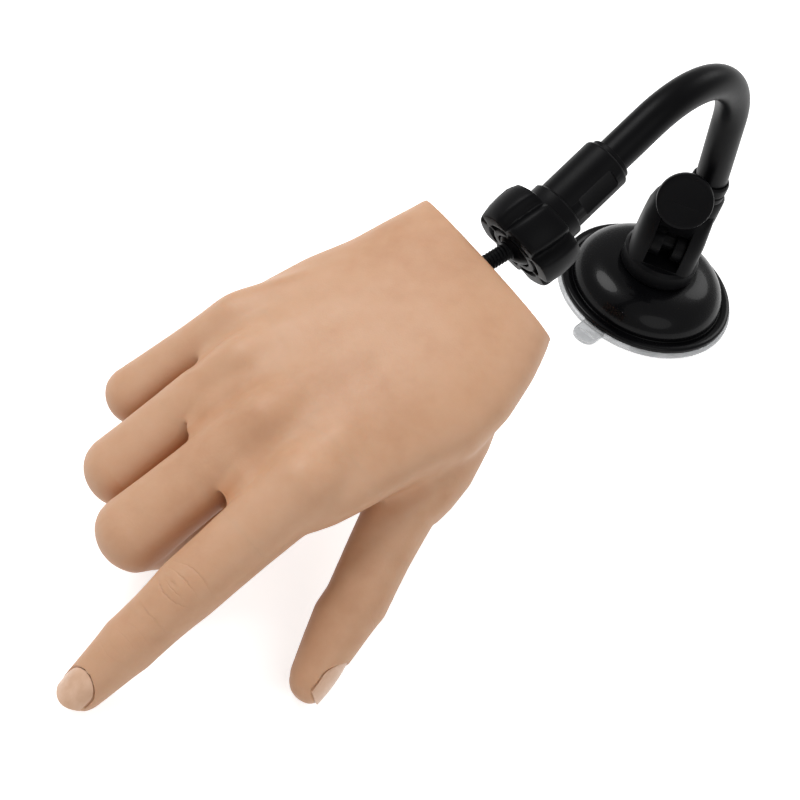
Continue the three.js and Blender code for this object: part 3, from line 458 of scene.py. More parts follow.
# the palm's section at each station: reach to the little-finger side, thumb side, back and palm
# from a line "drop" below the knuckles; past "row" the stations follow the line of the webs
palmShape = {
    "drop": 6.2, "power": 2.3, "slant": 0.3, "slantLength": 30, "tilt": 0.085, "tiltLength": 30,
    "stations": [(0, 34.9, 31.9, 13.2, 12), (5, 35.4, 35.6, 13.9, 12.6), (14, 36.6, 41.6, 15.0, 13.4),
                 (30, 38.2, 49.4, 15.8, 15.4), (46, 41.2, 53.0, 15.9, 17.0), (62, 42.0, 51.0, 15.6, 16.2)],
    "row": 62, "front": [(0.35, 42.0, 50.0, 14.8, 14), (0.62, 39.5, 49.5, 12.6, 11.5), (0.85, 36.0, 48.5, 9.2, 8),
                        (1.0, 32.0, 46.5, 4.4, 5)],
    "webs": [(-45, 68), (-40, 76), (-33, 90), (-23.5, 104), (-5, 115), (8, 117), (24, 119), (36, 111),
             (45, 104), (50, 98)],
    "voxel": 0.68, "smoothing": 9, "calming": 120,
    # where the calming sets in past the wrist, before the webs and above the palm, and how gently
    "calmEdges": [(3, 10), (112, 26), (-16, 8)], "calmSteps": 20,
    "trim": (-3, 0.5), "rim": 3.6, "mouth": (-2, 7),
}

# along the long bone in the palm: share of its length and how far the ball of the thumb swells
thumbSwell = [(0.0, 1.15), (0.2, 1.28), (0.45, 1.4), (0.7, 1.4), (0.88, 1.24), (1.0, 1.06)]
widestSwell = 1.15
# along a bone: share of its length, then width, back and pad against the sizes at its ends
boneStations = [(0, 1, 1, 1), (0.25, 0.965, 0.97, 0.99), (0.5, 0.95, 0.95, 1.0), (0.75, 0.965, 0.965, 1.0),
                (1, 1, 1, 1)]
tipStations = [(0, 1, 1, 1), (0.2, 0.98, 0.97, 1.02), (0.45, 0.99, 0.96, 1.06), (0.66, 0.99, 0.92, 1.07),
               (0.8, 0.94, 0.84, 0.98), (0.9, 0.82, 0.70, 0.82), (0.96, 0.62, 0.52, 0.6),
               (0.992, 0.34, 0.28, 0.32), (1, 0.12, 0.1, 0.12)]
tipTaper = 1.6
thumbPad = {"fuller": 1.17, "from": 0.18}


def palmSection(x, ulnar, radial, back, palm, share=None, sides=56):
    low = -palmShape["drop"]
    middle = (radial - ulnar) / 2
    ring = ovalRing(Vector(), yAxis, zAxis, (radial + ulnar) / 2, back, palm, palmShape["power"], sides)
    webY, webX = zip(*palmShape["webs"])
    places = []
    for point in ring:
        y, height = point.y / mm + middle, point.z / mm
        along = x + palmShape["slant"] * height * max(0, 1 - x / palmShape["slantLength"])
        if share is not None:
            along = palmShape["row"] + share * (float(np.interp(y, webY, webX)) - palmShape["row"])
        tilt = palmShape["tilt"] * y * min(1, x / palmShape["tiltLength"])
        places.append(inHand(along, y, height + low + tilt))
    return places


def meshPoints(mesh):
    flat = np.empty(3 * len(mesh.vertices))
    mesh.vertices.foreach_get("co", flat)
    return flat.reshape(-1, 3)


def handLocal(points):
    # the points in the hand's axes, in mm
    return (points - np.array(handOrigin)) @ handTurn.T / mm


def loftHeel(bm, finger, thumb):
    # the long bone inside the palm, from the heel to the knuckle
    first = finger["bones"][0]
    base, knuckle = finger["base"], first["start"]
    ahead = (knuckle - base).normalized()
    side = (first["axis"] - ahead * first["axis"].dot(ahead)).normalized()
    up = ahead.cross(side)
    half, depth = first["half"][0], first["depth"][0]
    rings = []
    for t, swell in thumbSwell:
        if not thumb:
            swell = 0.95 + 0.05 * t
        rings.append(ovalRing(base.lerp(knuckle, t), side, up, half * min(swell, widestSwell), depth * swell,
                              depth * swell))
    loftRings(bm, rings)


def loftBone(bm, bone, tip, fuller):
    # one length of a finger, with a ball at its joint
    rings = []
    for t, wide, back, pad in tipStations if tip else boneStations:
        mix = min(1, t * tipTaper) if tip else t
        half = bone["half"][0] + (bone["half"][1] - bone["half"][0]) * mix
        depth = bone["depth"][0] + (bone["depth"][1] - bone["depth"][0]) * mix
        pad *= 1 + (fuller - 1) * min(1, t / thumbPad["from"])
        rings.append(ovalRing(bone["start"].lerp(bone["end"], t), bone["axis"], bone["up"], half * wide,
                              depth * back, depth * pad))
    loftRings(bm, rings)
    ball = bmesh.ops.create_uvsphere(bm, u_segments=24, v_segments=16, radius=1)["verts"]
    scale = Matrix.Diagonal((bone["depth"][0] * mm, bone["half"][0] * mm, bone["depth"][0] * mm, 1))
    place = axesMatrix(bone["ahead"], bone["axis"], bone["up"], bone["start"])
    bmesh.ops.transform(bm, matrix=place @ scale, verts=ball)


def buildHand():
    bm = bmesh.new()
    rings = [palmSection(*station) for station in palmShape["stations"]]
    rings += [palmSection(palmShape["row"], *sizes, share=share) for share, *sizes in palmShape["front"]]
    loftRings(bm, rings)
    for name, finger in fingers.items():
        thumb = name == "thumb"
        loftHeel(bm, finger, thumb)
        for bone in finger["bones"]:
            tip = bone is finger["bones"][-1]
            loftBone(bm, bone, tip, thumbPad["fuller"] if thumb and tip else 1)
    hand = newObject("handForm", bm)
    modify(hand, "REMESH", mode="VOXEL", voxel_size=palmShape["voxel"] * mm)
    modify(hand, "SMOOTH", factor=0.5, iterations=palmShape["smoothing"])
    # the palm is smoothed further, less towards the webs and the wrist's edge
    local = handLocal(meshPoints(hand.data))
    (wrist, wristRun), (webs, websRun), (under, underRun) = palmShape["calmEdges"]
    share = np.clip((local[:, 0] - wrist) / wristRun, 0, 1) * np.clip((webs - local[:, 0]) / websRun, 0, 1)
    share *= np.clip((local[:, 2] - under) / underRun, 0, 1)
    group = hand.vertex_groups.new(name="palmSkin")
    count = palmShape["calmSteps"]
    steps = np.round(share * count).astype(int)
    for step in range(1, count + 1):
        group.add([int(i) for i in np.flatnonzero(steps == step)], step / count, "REPLACE")
    modify(hand, "SMOOTH", factor=0.5, iterations=palmShape["calming"], vertex_group="palmSkin")
    hand.vertex_groups.clear()
    return hand


handForm = buildHand()
print("hand joined", len(handForm.data.polygons), "faces")


# Forms laid on the joined skin: centre in the hand's axes, reach along x, y, z, and height in mm
reliefs = [
    ((97, 33, 11), (8, 8, 9), 0.9), ((93, 8, 11), (9, 8, 9), 1.1), ((86, -15, 8), (8, 8, 9), 0.9),
    ((77, -33, 3), (8, 7, 9), 0.3), ((80, 28, 8), (7, 4, 8), 0.5),
    ((104, 20.5, 6), (9, 4, 9), -0.8), ((99, -4, 5), (10, 4, 9), -0.6), ((89, -25, 2), (10, 4, 9), -0.6),
    ((106, 11, 8), (5, 6, 8), -0.45), ((60, 16, 8), (24, 4, 8), -0.3), ((60, -6, 8), (24, 4, 8), -0.3),
]
# Folds: from, to, half width, depth
folds = [
    ((90, 47, -9), (66, 52.5, -7), 3.0, 1.8), ((75, 63, -12), (60, 56.5, -11), 2.4, 0.9),
    ((118, 21, 0), (96, 20, 5), 3.0, 0.8), ((108, -5, 0), (90, -4, 4), 3.0, 0.7),
    ((98, -24, -2), (82, -24, 2), 3.0, 0.7),
]


def foldStrength(local, fold):
    start, end, width, depth = fold
    start, line = np.array(start, float), np.array(end, float) - np.array(start, float)
    t = np.clip((local - start) @ line / (line @ line), 0, 1)
    away = np.linalg.norm(local - start - t[:, None] * line, axis=1)
    return depth * np.exp(-(away / width) ** 2) * (1 - 0.5 * t)


def shapeHand(hand):
    mesh = hand.data
    points = meshPoints(mesh)
    local = handLocal(points)
    normals = np.empty(3 * len(mesh.vertices))
    mesh.vertices.foreach_get("normal", normals)
    push = np.zeros(len(points))
    for centre, reach, height in reliefs:
        away = (((local - np.array(centre)) / np.array(reach)) ** 2).sum(axis=1)
        push += height * np.exp(-away)
    for fold in folds:
        push -= foldStrength(local, fold)
    points = points + normals.reshape(-1, 3) * push[:, None] * mm
    # the wrist is cut flat, at a slant
    local = handLocal(points)
    past = local[:, 0] - palmShape["slant"] * (local[:, 2] + palmShape["drop"])
    low, high = palmShape["trim"]
    points = points - np.where((past < high) & (past > low), past, 0)[:, None] * mm * handTurn[0]
    mesh.vertices.foreach_set("co", points.ravel())
    mesh.update()


shapeHand(handForm)

# Nails: a bowed plate with a rounded root and free edge, let into a slot in the fingertip
nailKeys = ("from", "to", "half", "bow", "top", "fall")
nails = {
    "index": (13.2, 25.4, 6.0, 7.4, 5.9, 0.016), "middle": (14.2, 26.6, 6.0, 7.6, 5.9, 0.014),
    "ring": (14.4, 26.6, 5.7, 7.2, 5.7, 0.014), "little": (12.8, 23.6, 5.0, 6.4, 5.2, 0.016),
    "thumb": (18.4, 34.0, 7.0, 8.6, 6.6, 0.010),
}
nails = {name: dict(zip(nailKeys, values)) for name, values in nails.items()}
# the root's share of the plate, its narrowing, free edge, rise, thickness and rounding; the bed
# is larger, deeper and thicker
nailPlate = {"root": 0.45, "least": 0.02, "narrowing": 0.07, "edge": 2.6, "rise": 0.02, "wall": 0.7, "round": 0.16,
             "bed": (0.15, 0.75), "bedWall": 4}


def nailForm(name, size, grow=0.0, sink=0.0):
    bone = fingers[name]["bones"][-1]
    bm = bmesh.new()
    grid = bmesh.ops.create_grid(bm, x_segments=26, y_segments=18, size=1)["verts"]
    start, end = size["from"] - grow, size["to"] + grow
    for vert in grid:
        a, b = (vert.co.x + 1) / 2, vert.co.y
        root = min(1.0, a / nailPlate["root"])
        wide = (size["half"] + grow) * sqrt(max(nailPlate["least"], 1 - (1 - root) ** 2))
        wide *= 1 - nailPlate["narrowing"] * a
        y = b * wide
        x = start + (end - start) * a - nailPlate["edge"] * b * b * a ** 4
        ahead = x - size["from"]
        sag = size["bow"] - sqrt(size["bow"] ** 2 - y * y)
        z = size["top"] - sink - sag - size["fall"] * ahead ** 2 + nailPlate["rise"] * ahead
        vert.co = bone["start"] + (bone["ahead"] * x + bone["axis"] * y + bone["up"] * z) * mm
    return newObject(f"nailPlate_{name}", bm), bone


def nailBed(name, size):
    tool, bone = nailForm(name, size, *nailPlate["bed"])
    outward = 1 if tool.data.polygons[0].normal.dot(bone["up"]) > 0 else -1
    modify(tool, "SOLIDIFY", thickness=nailPlate["bedWall"] * mm, offset=outward, use_even_offset=False)
    carve(handForm, tool, solver="MANIFOLD")


def wristMouth():
    # the hollow in the wrist that takes the dark lining and its plug
    bm = bmesh.new()
    sizes = [size - palmShape["rim"] for size in palmShape["stations"][0][1:]]
    loftRings(bm, [palmSection(station, *sizes) for station in palmShape["mouth"]])
    carve(handForm, newObject("mouthTool", bm), solver="MANIFOLD")


for name, size in nails.items():
    nailBed(name, size)
wristMouth()
print("hand shaped", len(handForm.data.polygons), "faces")

# how far before a knuckle the palm ends, where the skin is parted along a bone, and how far about a
# joint it bends, by the joint's own bend at rest
skinParts = {"palm": 13, "first": 0.5, "later": 0.62, "soft": [(60, 1.5), (30, 3.0), (-1, 7.0)]}
# creases fade towards the pad and are faint at the end joint; between two fingers the shade starts
# creases, with their painted shade, fade towards the pad and are faint at the end joint; between two fingers the
# painted shade starts past the knuckle and fades upwards and with the gap
foldShade = {"fade": (1, 4), "endJoint": 0.2, "start": (12, 1.2), "above": (10, 6), "gap": 5.2, "depth": 2.6}


def fromBone(points, bone):
    # share of the bone's length, its length, offset from its line and distance outside its skin
    start, line = np.array(bone["start"]), np.array(bone["end"] - bone["start"])
    t = np.clip((points - start) @ line / (line @ line), 0, 1)
    offset = points - start - t[:, None] * line
    radius = (bone["half"][0] * (1 - t) + bone["half"][1] * t) * mm
    return t, np.linalg.norm(line), offset, np.linalg.norm(offset, axis=1) - radius


def nearestBones(points):
    # for each point: the finger and bone whose skin it lies in, and how far along that bone
    points = np.array(points).reshape(-1, 3)
    best = np.full(len(points), 1e9)
    found = np.zeros((len(points), 4))
    for number, finger in enumerate(fingers.values()):
        heelBone = {"start": finger["base"], "end": finger["bones"][0]["start"], "half": [finger["half"][0]] * 2}
        for i, bone in enumerate([heelBone] + finger["bones"]):
            t, length, _, away = fromBone(points, bone)
            near = away < best
            found[near, 0] = number
            found[near, 1] = i - 1
            found[near, 2] = t[near]
            found[near, 3] = (1 - t[near]) * length / mm
            best = np.minimum(best, away)
    return found


def skinLabels(mesh):
    centres = np.empty(3 * len(mesh.polygons))
    mesh.polygons.foreach_get("center", centres)
    names = list(fingers)
    labels = []
    for number, bone, t, left in nearestBones(centres).tolist():
        name = names[int(number)]
        finger = fingers[name]
        if bone < 0:
            labels.append("palm" if left > skinParts["palm"] else f"{name}_knuckle")
            continue
        share = skinParts["first"] if bone == 0 else skinParts["later"]
        step = int(bone) if t < share else min(len(finger["bones"]) - 1, int(bone) + 1)
        labels.append(f"{name}_{finger['parts'][step]}")
    return labels


def foldPlaces(mesh):
    # where each point lies from its nearest joint, for the creases
    points = meshPoints(mesh)
    found = nearestBones(points)
    places = np.zeros((len(points), 3))
    rise, run = foldShade["fade"]
    for number, finger in enumerate(fingers.values()):
        last = len(finger["bones"]) - 1
        step = np.where(found[:, 2] < 0.5, found[:, 1], np.minimum(last, found[:, 1] + 1))
        for k in range(1, last + 1):
            joint = finger["bones"][k]
            mine = (found[:, 0] == number) & (step == k)
            offset = (points[mine] - np.array(joint["start"])) / mm
            u, v, w = (offset @ np.array(joint[key]) for key in ("ahead", "axis", "up"))
            depth = finger["creases"] * np.clip((w + rise) / run, 0, 1) * (foldShade["endJoint"] if k == 2 else 1)
            places[mine] = np.stack([u, v, depth], axis=1)
    return places


def creviceShadeDepths(mesh):
    # how deep a point lies in a fold of the palm or between two fingers, which sets its painted shade
    points = meshPoints(mesh)
    local = handLocal(points)
    strength = sum(foldStrength(local, fold) for fold in folds)
    (run, least), (top, fade) = foldShade["start"], foldShade["above"]
    gaps, weights = [], []
    for name in ("index", "middle", "ring", "little"):
        nearest = np.full(len(points), 1.0)
        weight = np.zeros(len(points))
        for i, bone in enumerate(fingers[name]["bones"]):
            t, length, offset, away = fromBone(points, bone)
            # none on the palm, and less towards the top of the finger
            beyond = np.clip(t * length / mm / run - least, 0, 1) if i == 0 else 1
            above = offset @ np.array(bone["up"]) / mm
            weight = np.where(away < nearest, beyond * np.clip((top - above) / fade, 0, 1), weight)
            nearest = np.minimum(nearest, away)
        gaps.append(nearest)
        weights.append(weight)
    order = np.argsort(gaps, axis=0)
    second = np.maximum(np.take_along_axis(np.array(gaps), order, axis=0)[1], 0) / mm
    weight = np.take_along_axis(np.array(weights), order, axis=0)[0]
    strength = strength + foldShade["depth"] * np.exp(-(second / foldShade["gap"]) ** 2) * weight
    return np.stack([strength, strength, strength], axis=1)


# the fold places set the creases and their painted shade; the crevice depths set the painted shade in the folds
pieces = splitPieces(handForm, skinLabels(handForm.data),
                     {"foldPlace": foldPlaces(handForm.data), "crevice": creviceShadeDepths(handForm.data)})
print("hand split into", len(pieces))

for label, piece in pieces.items():
    dress(piece, "skin")
    piece.name = f"skin_{label}"
    if label == "palm":
        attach(piece, "hand")
        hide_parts("palm_skin")
        continue
    name, part = label.split("_", 1)
    finger = fingers[name]
    step = finger["parts"].index(part)
    body = f"{name}_{finger['names'][step]}"
    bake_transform(piece)
    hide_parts(f"{body}_skin")


def buildNail(name, size):
    nail, bone = nailForm(name, size)
    inward = -1 if nail.data.polygons[0].normal.dot(bone["up"]) > 0 else 1
    modify(nail, "SOLIDIFY", thickness=nailPlate["wall"] * mm, offset=inward)
    bevelEdges(nail, nailPlate["round"], 2, 50)
    dress(nail, "nail")
    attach(nail, f"{name}_distal")
    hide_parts(f"{name}_nail")


for name, size in nails.items():
    buildNail(name, size)
print("nails made")

# Arm: centre line of the gooseneck, sizes in mm
arm = {
    "neck": (5.1, 3.4, 62), "heading": 239.3, "lean": 15.7, "leg": 34.5, "bend": 41.1, "endSlope": 31.4,
    "end": 18.9, "radius": 6.25, "joints": [7, 34, 60, 86, 112], "steps": 96, "lead": 4, "sides": 48,
    # the ring near the end: distance from it, depth and half width; how far the sheath bends about a joint
    "seam": (4.5, 0.12, 0.35), "soft": 6,
}
heading = radians(arm["heading"])
armPlane = Vector((cos(heading), sin(heading), 0))
armSide = zAxis.cross(armPlane)
bendTurn = radians(90 - arm["lean"] + arm["endSlope"])
armLength = arm["leg"] + arm["bend"] * bendTurn + arm["end"]


def armAt(s):
    # a straight leg, a round bend and a straight end
    rise, leg, bend = radians(90 - arm["lean"]), arm["leg"], arm["bend"]
    turn = min(max(s - leg, 0.0), bend * bendTurn) / bend
    past = max(0.0, s - leg - bend * bendTurn)
    slope = rise - turn
    reach = min(s, leg) * cos(rise) + bend * (sin(rise) - sin(slope)) + past * cos(slope)
    height = min(s, leg) * sin(rise) + bend * (cos(slope) - cos(rise)) + past * sin(slope)
    along = armPlane * cos(slope) + zAxis * sin(slope)
    return (Vector(arm["neck"]) + armPlane * reach + zAxis * height) * mm, along


def armMatrix(s):
    point, along = armAt(s)
    return axesMatrix(armSide, along.cross(armSide), along, point)


def buildGooseneck():
    bm = bmesh.new()
    steps, sides = arm["steps"], arm["sides"]
    before, deep, width = arm["seam"]
    rings = []
    for i in range(-arm["lead"], steps + 1):
        s = armLength * i / steps
        radius = arm["radius"] - deep * exp(-((s - (armLength - before)) / width) ** 2)
        point, along = armAt(max(0.0, s))
        if i < 0:
            point = point + along * s * mm
        up = along.cross(armSide)
        rings.append([point + (armSide * cos(a) + up * sin(a)) * radius * mm
                      for a in (2 * pi * k / sides for k in range(sides))])
    loftRings(bm, rings)
    tube = newObject("sheathForm", bm)
    cuts = [(a + b) / 2 for a, b in zip(arm["joints"], arm["joints"][1:])]
    marks = 300
    line = np.array([armAt(armLength * k / marks)[0] for k in range(marks + 1)])
    labels = []
    for face in tube.data.polygons:
        s = armLength * int(np.argmin(np.linalg.norm(line - np.array(face.center), axis=1))) / marks
        labels.append(f"sheath_{sum(1 for cut in cuts if s > cut) + 1}")
    parts = splitPieces(tube, labels)
    for i, s in enumerate(arm["joints"]):
        piece = parts[f"sheath_{i + 1}"]
        dress(piece, "sheath")
        point, along = armAt(s)
        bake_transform(piece)
        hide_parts(*([f"gooseneck_{i + 1}"] + (["gooseneck_root"] if i == 0 else [])))


buildGooseneck()
print("gooseneck made")

endMatrix = armMatrix(armLength)

# Sleeve at the arm's end: stepped, chamfered, with a flat panel let into one side
sleeve = {"radius": 9.2, "step": 7.8, "stepLength": 1.6, "length": 26, "inner": 6.5, "round": 0.35,
          "panelHalf": 4, "panelDeep": 0.8, "panelRound": 0.8, "panelEnds": (4, 19), "panelTurn": -60}


def buildSleeve():
    r, low = sleeve["radius"], -sleeve["stepLength"]
    outline = [(sleeve["inner"], low), (sleeve["step"], low), (sleeve["step"], 0.2), (r - 0.5, 0.2), (r, 0.9),
               (r, sleeve["length"]), (sleeve["inner"], sleeve["length"])]
    body = lathe("sleeveShell", roundedProfile(outline, sleeve["round"]), 96)
    bm = bmesh.new()
    half = sleeve["panelHalf"]
    blockMesh(bm, -half, half, r - sleeve["panelDeep"], r + 3, *sleeve["panelEnds"])
    bmesh.ops.bevel(bm, geom=bm.edges[:], offset=sleeve["panelRound"] * mm, segments=3, profile=0.5,
                    affect="EDGES", material=-1)
    turn = Matrix.Rotation(radians(sleeve["panelTurn"]), 4, "Z")
    bmesh.ops.transform(bm, matrix=turn, verts=bm.verts)
    carve(body, newObject("panelTool", bm))
    body.data.transform(endMatrix)
    bevelEdges(body, 0.2, 2, 30)
    dress(body, "satin")
    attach(body, "arm_5")
    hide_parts("sleeve")


buildSleeve()

# Clamp nut: six lobes on a barrel, a plain collar, hollows round the ball's mouth
nut = {"radius": 16.8, "groove": 3.0, "lobes": 6, "collar": 10.4, "collarTop": 22.5, "lobesTop": 28.5, "bottom": 44,
       "mouth": 7.0, "twist": 10, "sides": 168, "hollow": 2.4}


def buildNut():
    count = nut["sides"]
    top, bottom, wide = nut["lobesTop"], nut["bottom"], nut["radius"]
    collar, collarTop, mouth = nut["collar"], nut["collarTop"], nut["mouth"]
    # radius, height, how far the lobes cut in, how deep the hollows are
    stations = [(9.1, collarTop + 4, 0, 0), (9.1, collarTop, 0, 0), (collar - 0.8, collarTop, 0, 0),
                (collar, collarTop + 0.8, 0, 0), (collar, top - 0.4, 0, 0), (collar + 0.3, top, 0, 0),
                (wide - 2.0, top, 0.7, 0), (wide - 1.0, top + 0.5, 1, 0), (wide - 0.3, top + 2.5, 1, 0),
                (wide, top + 6, 1, 0), (wide, top + 10, 1, 0), (wide - 0.5, bottom - 2, 1, 0),
                (wide - 0.9, bottom - 0.7, 1, 0), (wide - 1.5, bottom, 1, 0), (12.0, bottom, 0.3, 0),
                (11.4, bottom, 0, 0), (11.0, bottom, 0, 1), (10.0, bottom, 0, 1), (9.4, bottom, 0, 1),
                (9.0, bottom, 0, 0), (8.0, bottom, 0, 0), (mouth, bottom, 0, 0), (mouth, bottom - 0.6, 0, 0),
                (8.7, bottom - 5, 0, 0)]
    rings = []
    for radius, height, cutIn, hollow in stations:
        ring = []
        for i in range(count):
            a = 2 * pi * i / count
            lean = radians(nut["twist"]) * (height - top) / (bottom - top) if height > top else 0
            phase = (a - radians(90) - lean) * nut["lobes"]
            groove = max(0.0, cos(phase)) ** 3
            r = radius - nut["groove"] * cutIn * groove
            gap = 1 / (1 + exp(-14 * (abs(sin(phase / 2 + 0.2)) - 0.45)))
            ring.append(circlePoint(endMatrix, r, a, height - nut["hollow"] * hollow * gap))
        rings.append(ring)
    bm = bmesh.new()
    loftRings(bm, rings, closed=False)
    body = newObject("lobedNut", bm)
    bevelEdges(body, 0.25, 2, 40)
    dress(body, "satin")
    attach(body, "nut")
    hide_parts("clamp_nut")


buildNut()

# Ball and its threaded stud, along the hand's x
ball = {"radius": 8.5, "stud": 3.0, "toWrist": 15, "inWrist": 11, "pitch": 1.25, "thread": 0.32, "sides": 48,
        "steps": 40}


def buildBall():
    bm = bmesh.new()
    rings = []
    turn = Matrix.Rotation(radians(90), 4, "Y")
    place = handMatrix @ Matrix.Translation((-ball["toWrist"] * mm, 0, 0)) @ turn
    neckStart = sqrt(ball["radius"] ** 2 - ball["stud"] ** 2)
    profile = [(ball["radius"] * sin(t), -ball["radius"] * cos(t)) for t in
               (radians(4 + k * 155 / ball["steps"]) for k in range(ball["steps"] + 1))]
    profile += [(ball["stud"] + 0.5, neckStart + 0.15), (ball["stud"], neckStart + 0.6)]
    # a negative radius marks the thread
    z = neckStart + 0.8
    while z < ball["toWrist"] + ball["inWrist"]:
        profile.append((-ball["stud"], z))
        z += ball["pitch"] / 8
    for radius, z in profile:
        ring = []
        for i in range(ball["sides"]):
            a = 2 * pi * i / ball["sides"]
            r = abs(radius)
            if radius < 0:
                wave = (a / (2 * pi) + z / ball["pitch"]) % 1
                r += ball["thread"] * (1 - abs(2 * wave - 1)) - ball["thread"]
            ring.append(circlePoint(place, r, a, z))
        rings.append(ring)
    loftRings(bm, rings)
    body = newObject("ballAndStud", bm)
    dress(body, "satin")
    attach(body, "stud")
    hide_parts("ball_stud")


buildBall()
print("nut, ball and sleeve made")

# Suction base
base = {"film": 36.0, "rim": 35.1, "flange": 30.8, "flangeTop": 4.2, "top": 16, "topRadius": 15, "bore": 4.6,
        "domeSteps": 24}
tabShape = {"ends": (33.8, 44.6), "half": 5, "top": 1.4, "corner": 4.4, "turn": 243.5,
            "slot": (39.4, 40.8, -3.6, 3.6, 0.8, 2.4)}


def buildTab():
    bm = bmesh.new()
    blockMesh(bm, *tabShape["ends"], -tabShape["half"], tabShape["half"], 0.0, tabShape["top"])
    corners = [e for e in bm.edges if abs(e.verts[0].co.z - e.verts[1].co.z) > 0.5 * mm and e.verts[0].co.x > 40 * mm]
    bmesh.ops.bevel(bm, geom=corners, offset=tabShape["corner"] * mm, segments=8, profile=0.5, affect="EDGES",
                    material=-1)
    tab = newObject("tabForm", bm, False)
    bm = bmesh.new()
    blockMesh(bm, *tabShape["slot"])
    carve(tab, newObject("slotTool", bm))
    tab.data.transform(Matrix.Rotation(radians(tabShape["turn"]), 4, "Z"))
    bevelEdges(tab, 0.25, 2, 40)
    tab.name = "pullTab"
    return tab


def buildBase():
    film = [(0, 0), (base["film"] - 0.4, 0), (base["film"], 0.5), (base["film"], 1.2), (base["film"] - 0.5, 1.7),
            (31, 1.75), (8.5, 1.8), (5.6, 3.6), (5.5, 9), (0, 9)]
    cup = lathe("suctionCup", film, 128, closed=False)
    for piece in (cup, buildTab()):
        dress(piece, "film")
        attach(piece, "base")
    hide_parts("suction_film")
    inside, rim, low, top = base["flange"], base["rim"], base["flangeTop"], base["top"]
    run, rise, steps = inside - base["topRadius"], top - low, base["domeSteps"]
    dome = [(base["bore"], top), (base["topRadius"] - 0.6, top)]
    for k in range(1, steps + 1):
        t = pi / 2 * (1 - k / steps)
        dome.append((inside - run * (1 - cos(t)), low + rise * sin(t)))
    dome += [(inside + 0.1, low - 0.25), (inside + 0.35, low - 0.25), (inside + 0.5, low), (rim - 0.9, low),
             (rim - 0.3, low - 0.25), (rim, low - 0.9), (rim, 2.4), (rim - 0.4, 2.0), (28, 2.0), (26, 4.4),
             (18, 12), (6.6, 14), (base["bore"], 14)]
    shell = lathe("domeCover", dome, 144)
    dress(shell, "gloss")
    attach(shell, "base")
    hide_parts("dome_shell")


buildBase()

# Turret: collar on the dome, housing with the lever's slot, socket of the gooseneck
turret = {
    "width": 27, "depth": 25, "power": 2 / 0.55, "slot": 13.6, "slotEnds": (-30, 7), "floor": 24.5,
    # height, how much narrower and shallower on each side, shift in x and y
    "sections": [(18.3, 0, 0, 0, 0.5), (30, 0, 0, 0, 0.5), (36, 0.1, 0.5, 0, 0.9), (41, 0.4, 2, 0, 2),
                 (44.5, 1.0, 3, 0.4, 2.8), (46.4, 1.6, 3.9, 0.7, 3.4), (47, 2.4, 4.8, 0.8, 3.6)],
    "collar": [(14.6, 0), (15, 0.4), (15, 6.3), (13.9, 7.5)],
    "socket": [(6.6, 46), (8.6, 43), (8.6, 52.6), (7.9, 54), (6.6, 54)], "socketAt": (5.1, 4.9, 0),
    "bore": [(0, 48), (6.55, 48), (6.55, 70), (0, 70)], "boreAt": (5.1, 3.4, 0),
    "ferrule": [(6.5, 54.3), (7.4, 54.3), (7.4, 56.7), (6.9, 57.2), (7.4, 57.9), (7.4, 61), (6.9, 62), (6.5, 62)],
    "sharp": 40,
}


def buildTurret():
    foot = base["top"] + 0.3
    collar = [(radius, foot + rise) for radius, rise in turret["collar"]]
    body = lathe("turretShell", [(0, foot), *collar, (0, collar[-1][1])], 96, closed=False)
    bm = bmesh.new()
    w, d = turret["width"] / 2, turret["depth"] / 2
    rings = []
    for z, narrower, shallower, x, y in turret["sections"]:
        rings.append(ovalRing(Vector((x, y, z)) * mm, xAxis, yAxis, w - narrower, d - shallower, d - shallower,
                              turret["power"], 64))
    loftRings(bm, rings)
    carve(body, newObject("housingTool", bm), "UNION")
    bm = bmesh.new()
    half = turret["slot"] / 2
    blockMesh(bm, -half, half, *turret["slotEnds"], turret["floor"], turret["sections"][-1][0] + 12)
    carve(body, newObject("slotTool", bm))
    socketAt, boreAt = (Matrix.Translation([v * mm for v in turret[key]]) for key in ("socketAt", "boreAt"))
    carve(body, lathe("socketTool", turret["socket"], 64, socketAt), "UNION")
    carve(body, lathe("boreTool", turret["bore"], 48, boreAt, closed=False))
    bevelEdges(body, 0.5, 3, 38)
    body.data.set_sharp_from_angle(angle=radians(turret["sharp"]))
    dress(body, "satin")
    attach(body, "turret")
    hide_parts("turret_housing")
    ring = lathe("ferruleShell", roundedProfile(turret["ferrule"], 0.3), 72, boreAt)
    dress(ring, "satin")
    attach(ring, "turret")
    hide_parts("ferrule_ring")


buildTurret()

# Cam lever with its thumb pad
lever = {"pin": (-1.5, 31), "pad": (-2.4, -13, 60), "lean": 25, "padRadius": 10.7, "padThickness": 3.4, "half": 6.5,
         "blade": 2.2, "bladeFrom": 9, "earTop": 12, "gap": 2.5, "cam": 6.2, "camWidth": 4, "camAt": 4.5,
         "camBack": 1.9, "sharp": 40}


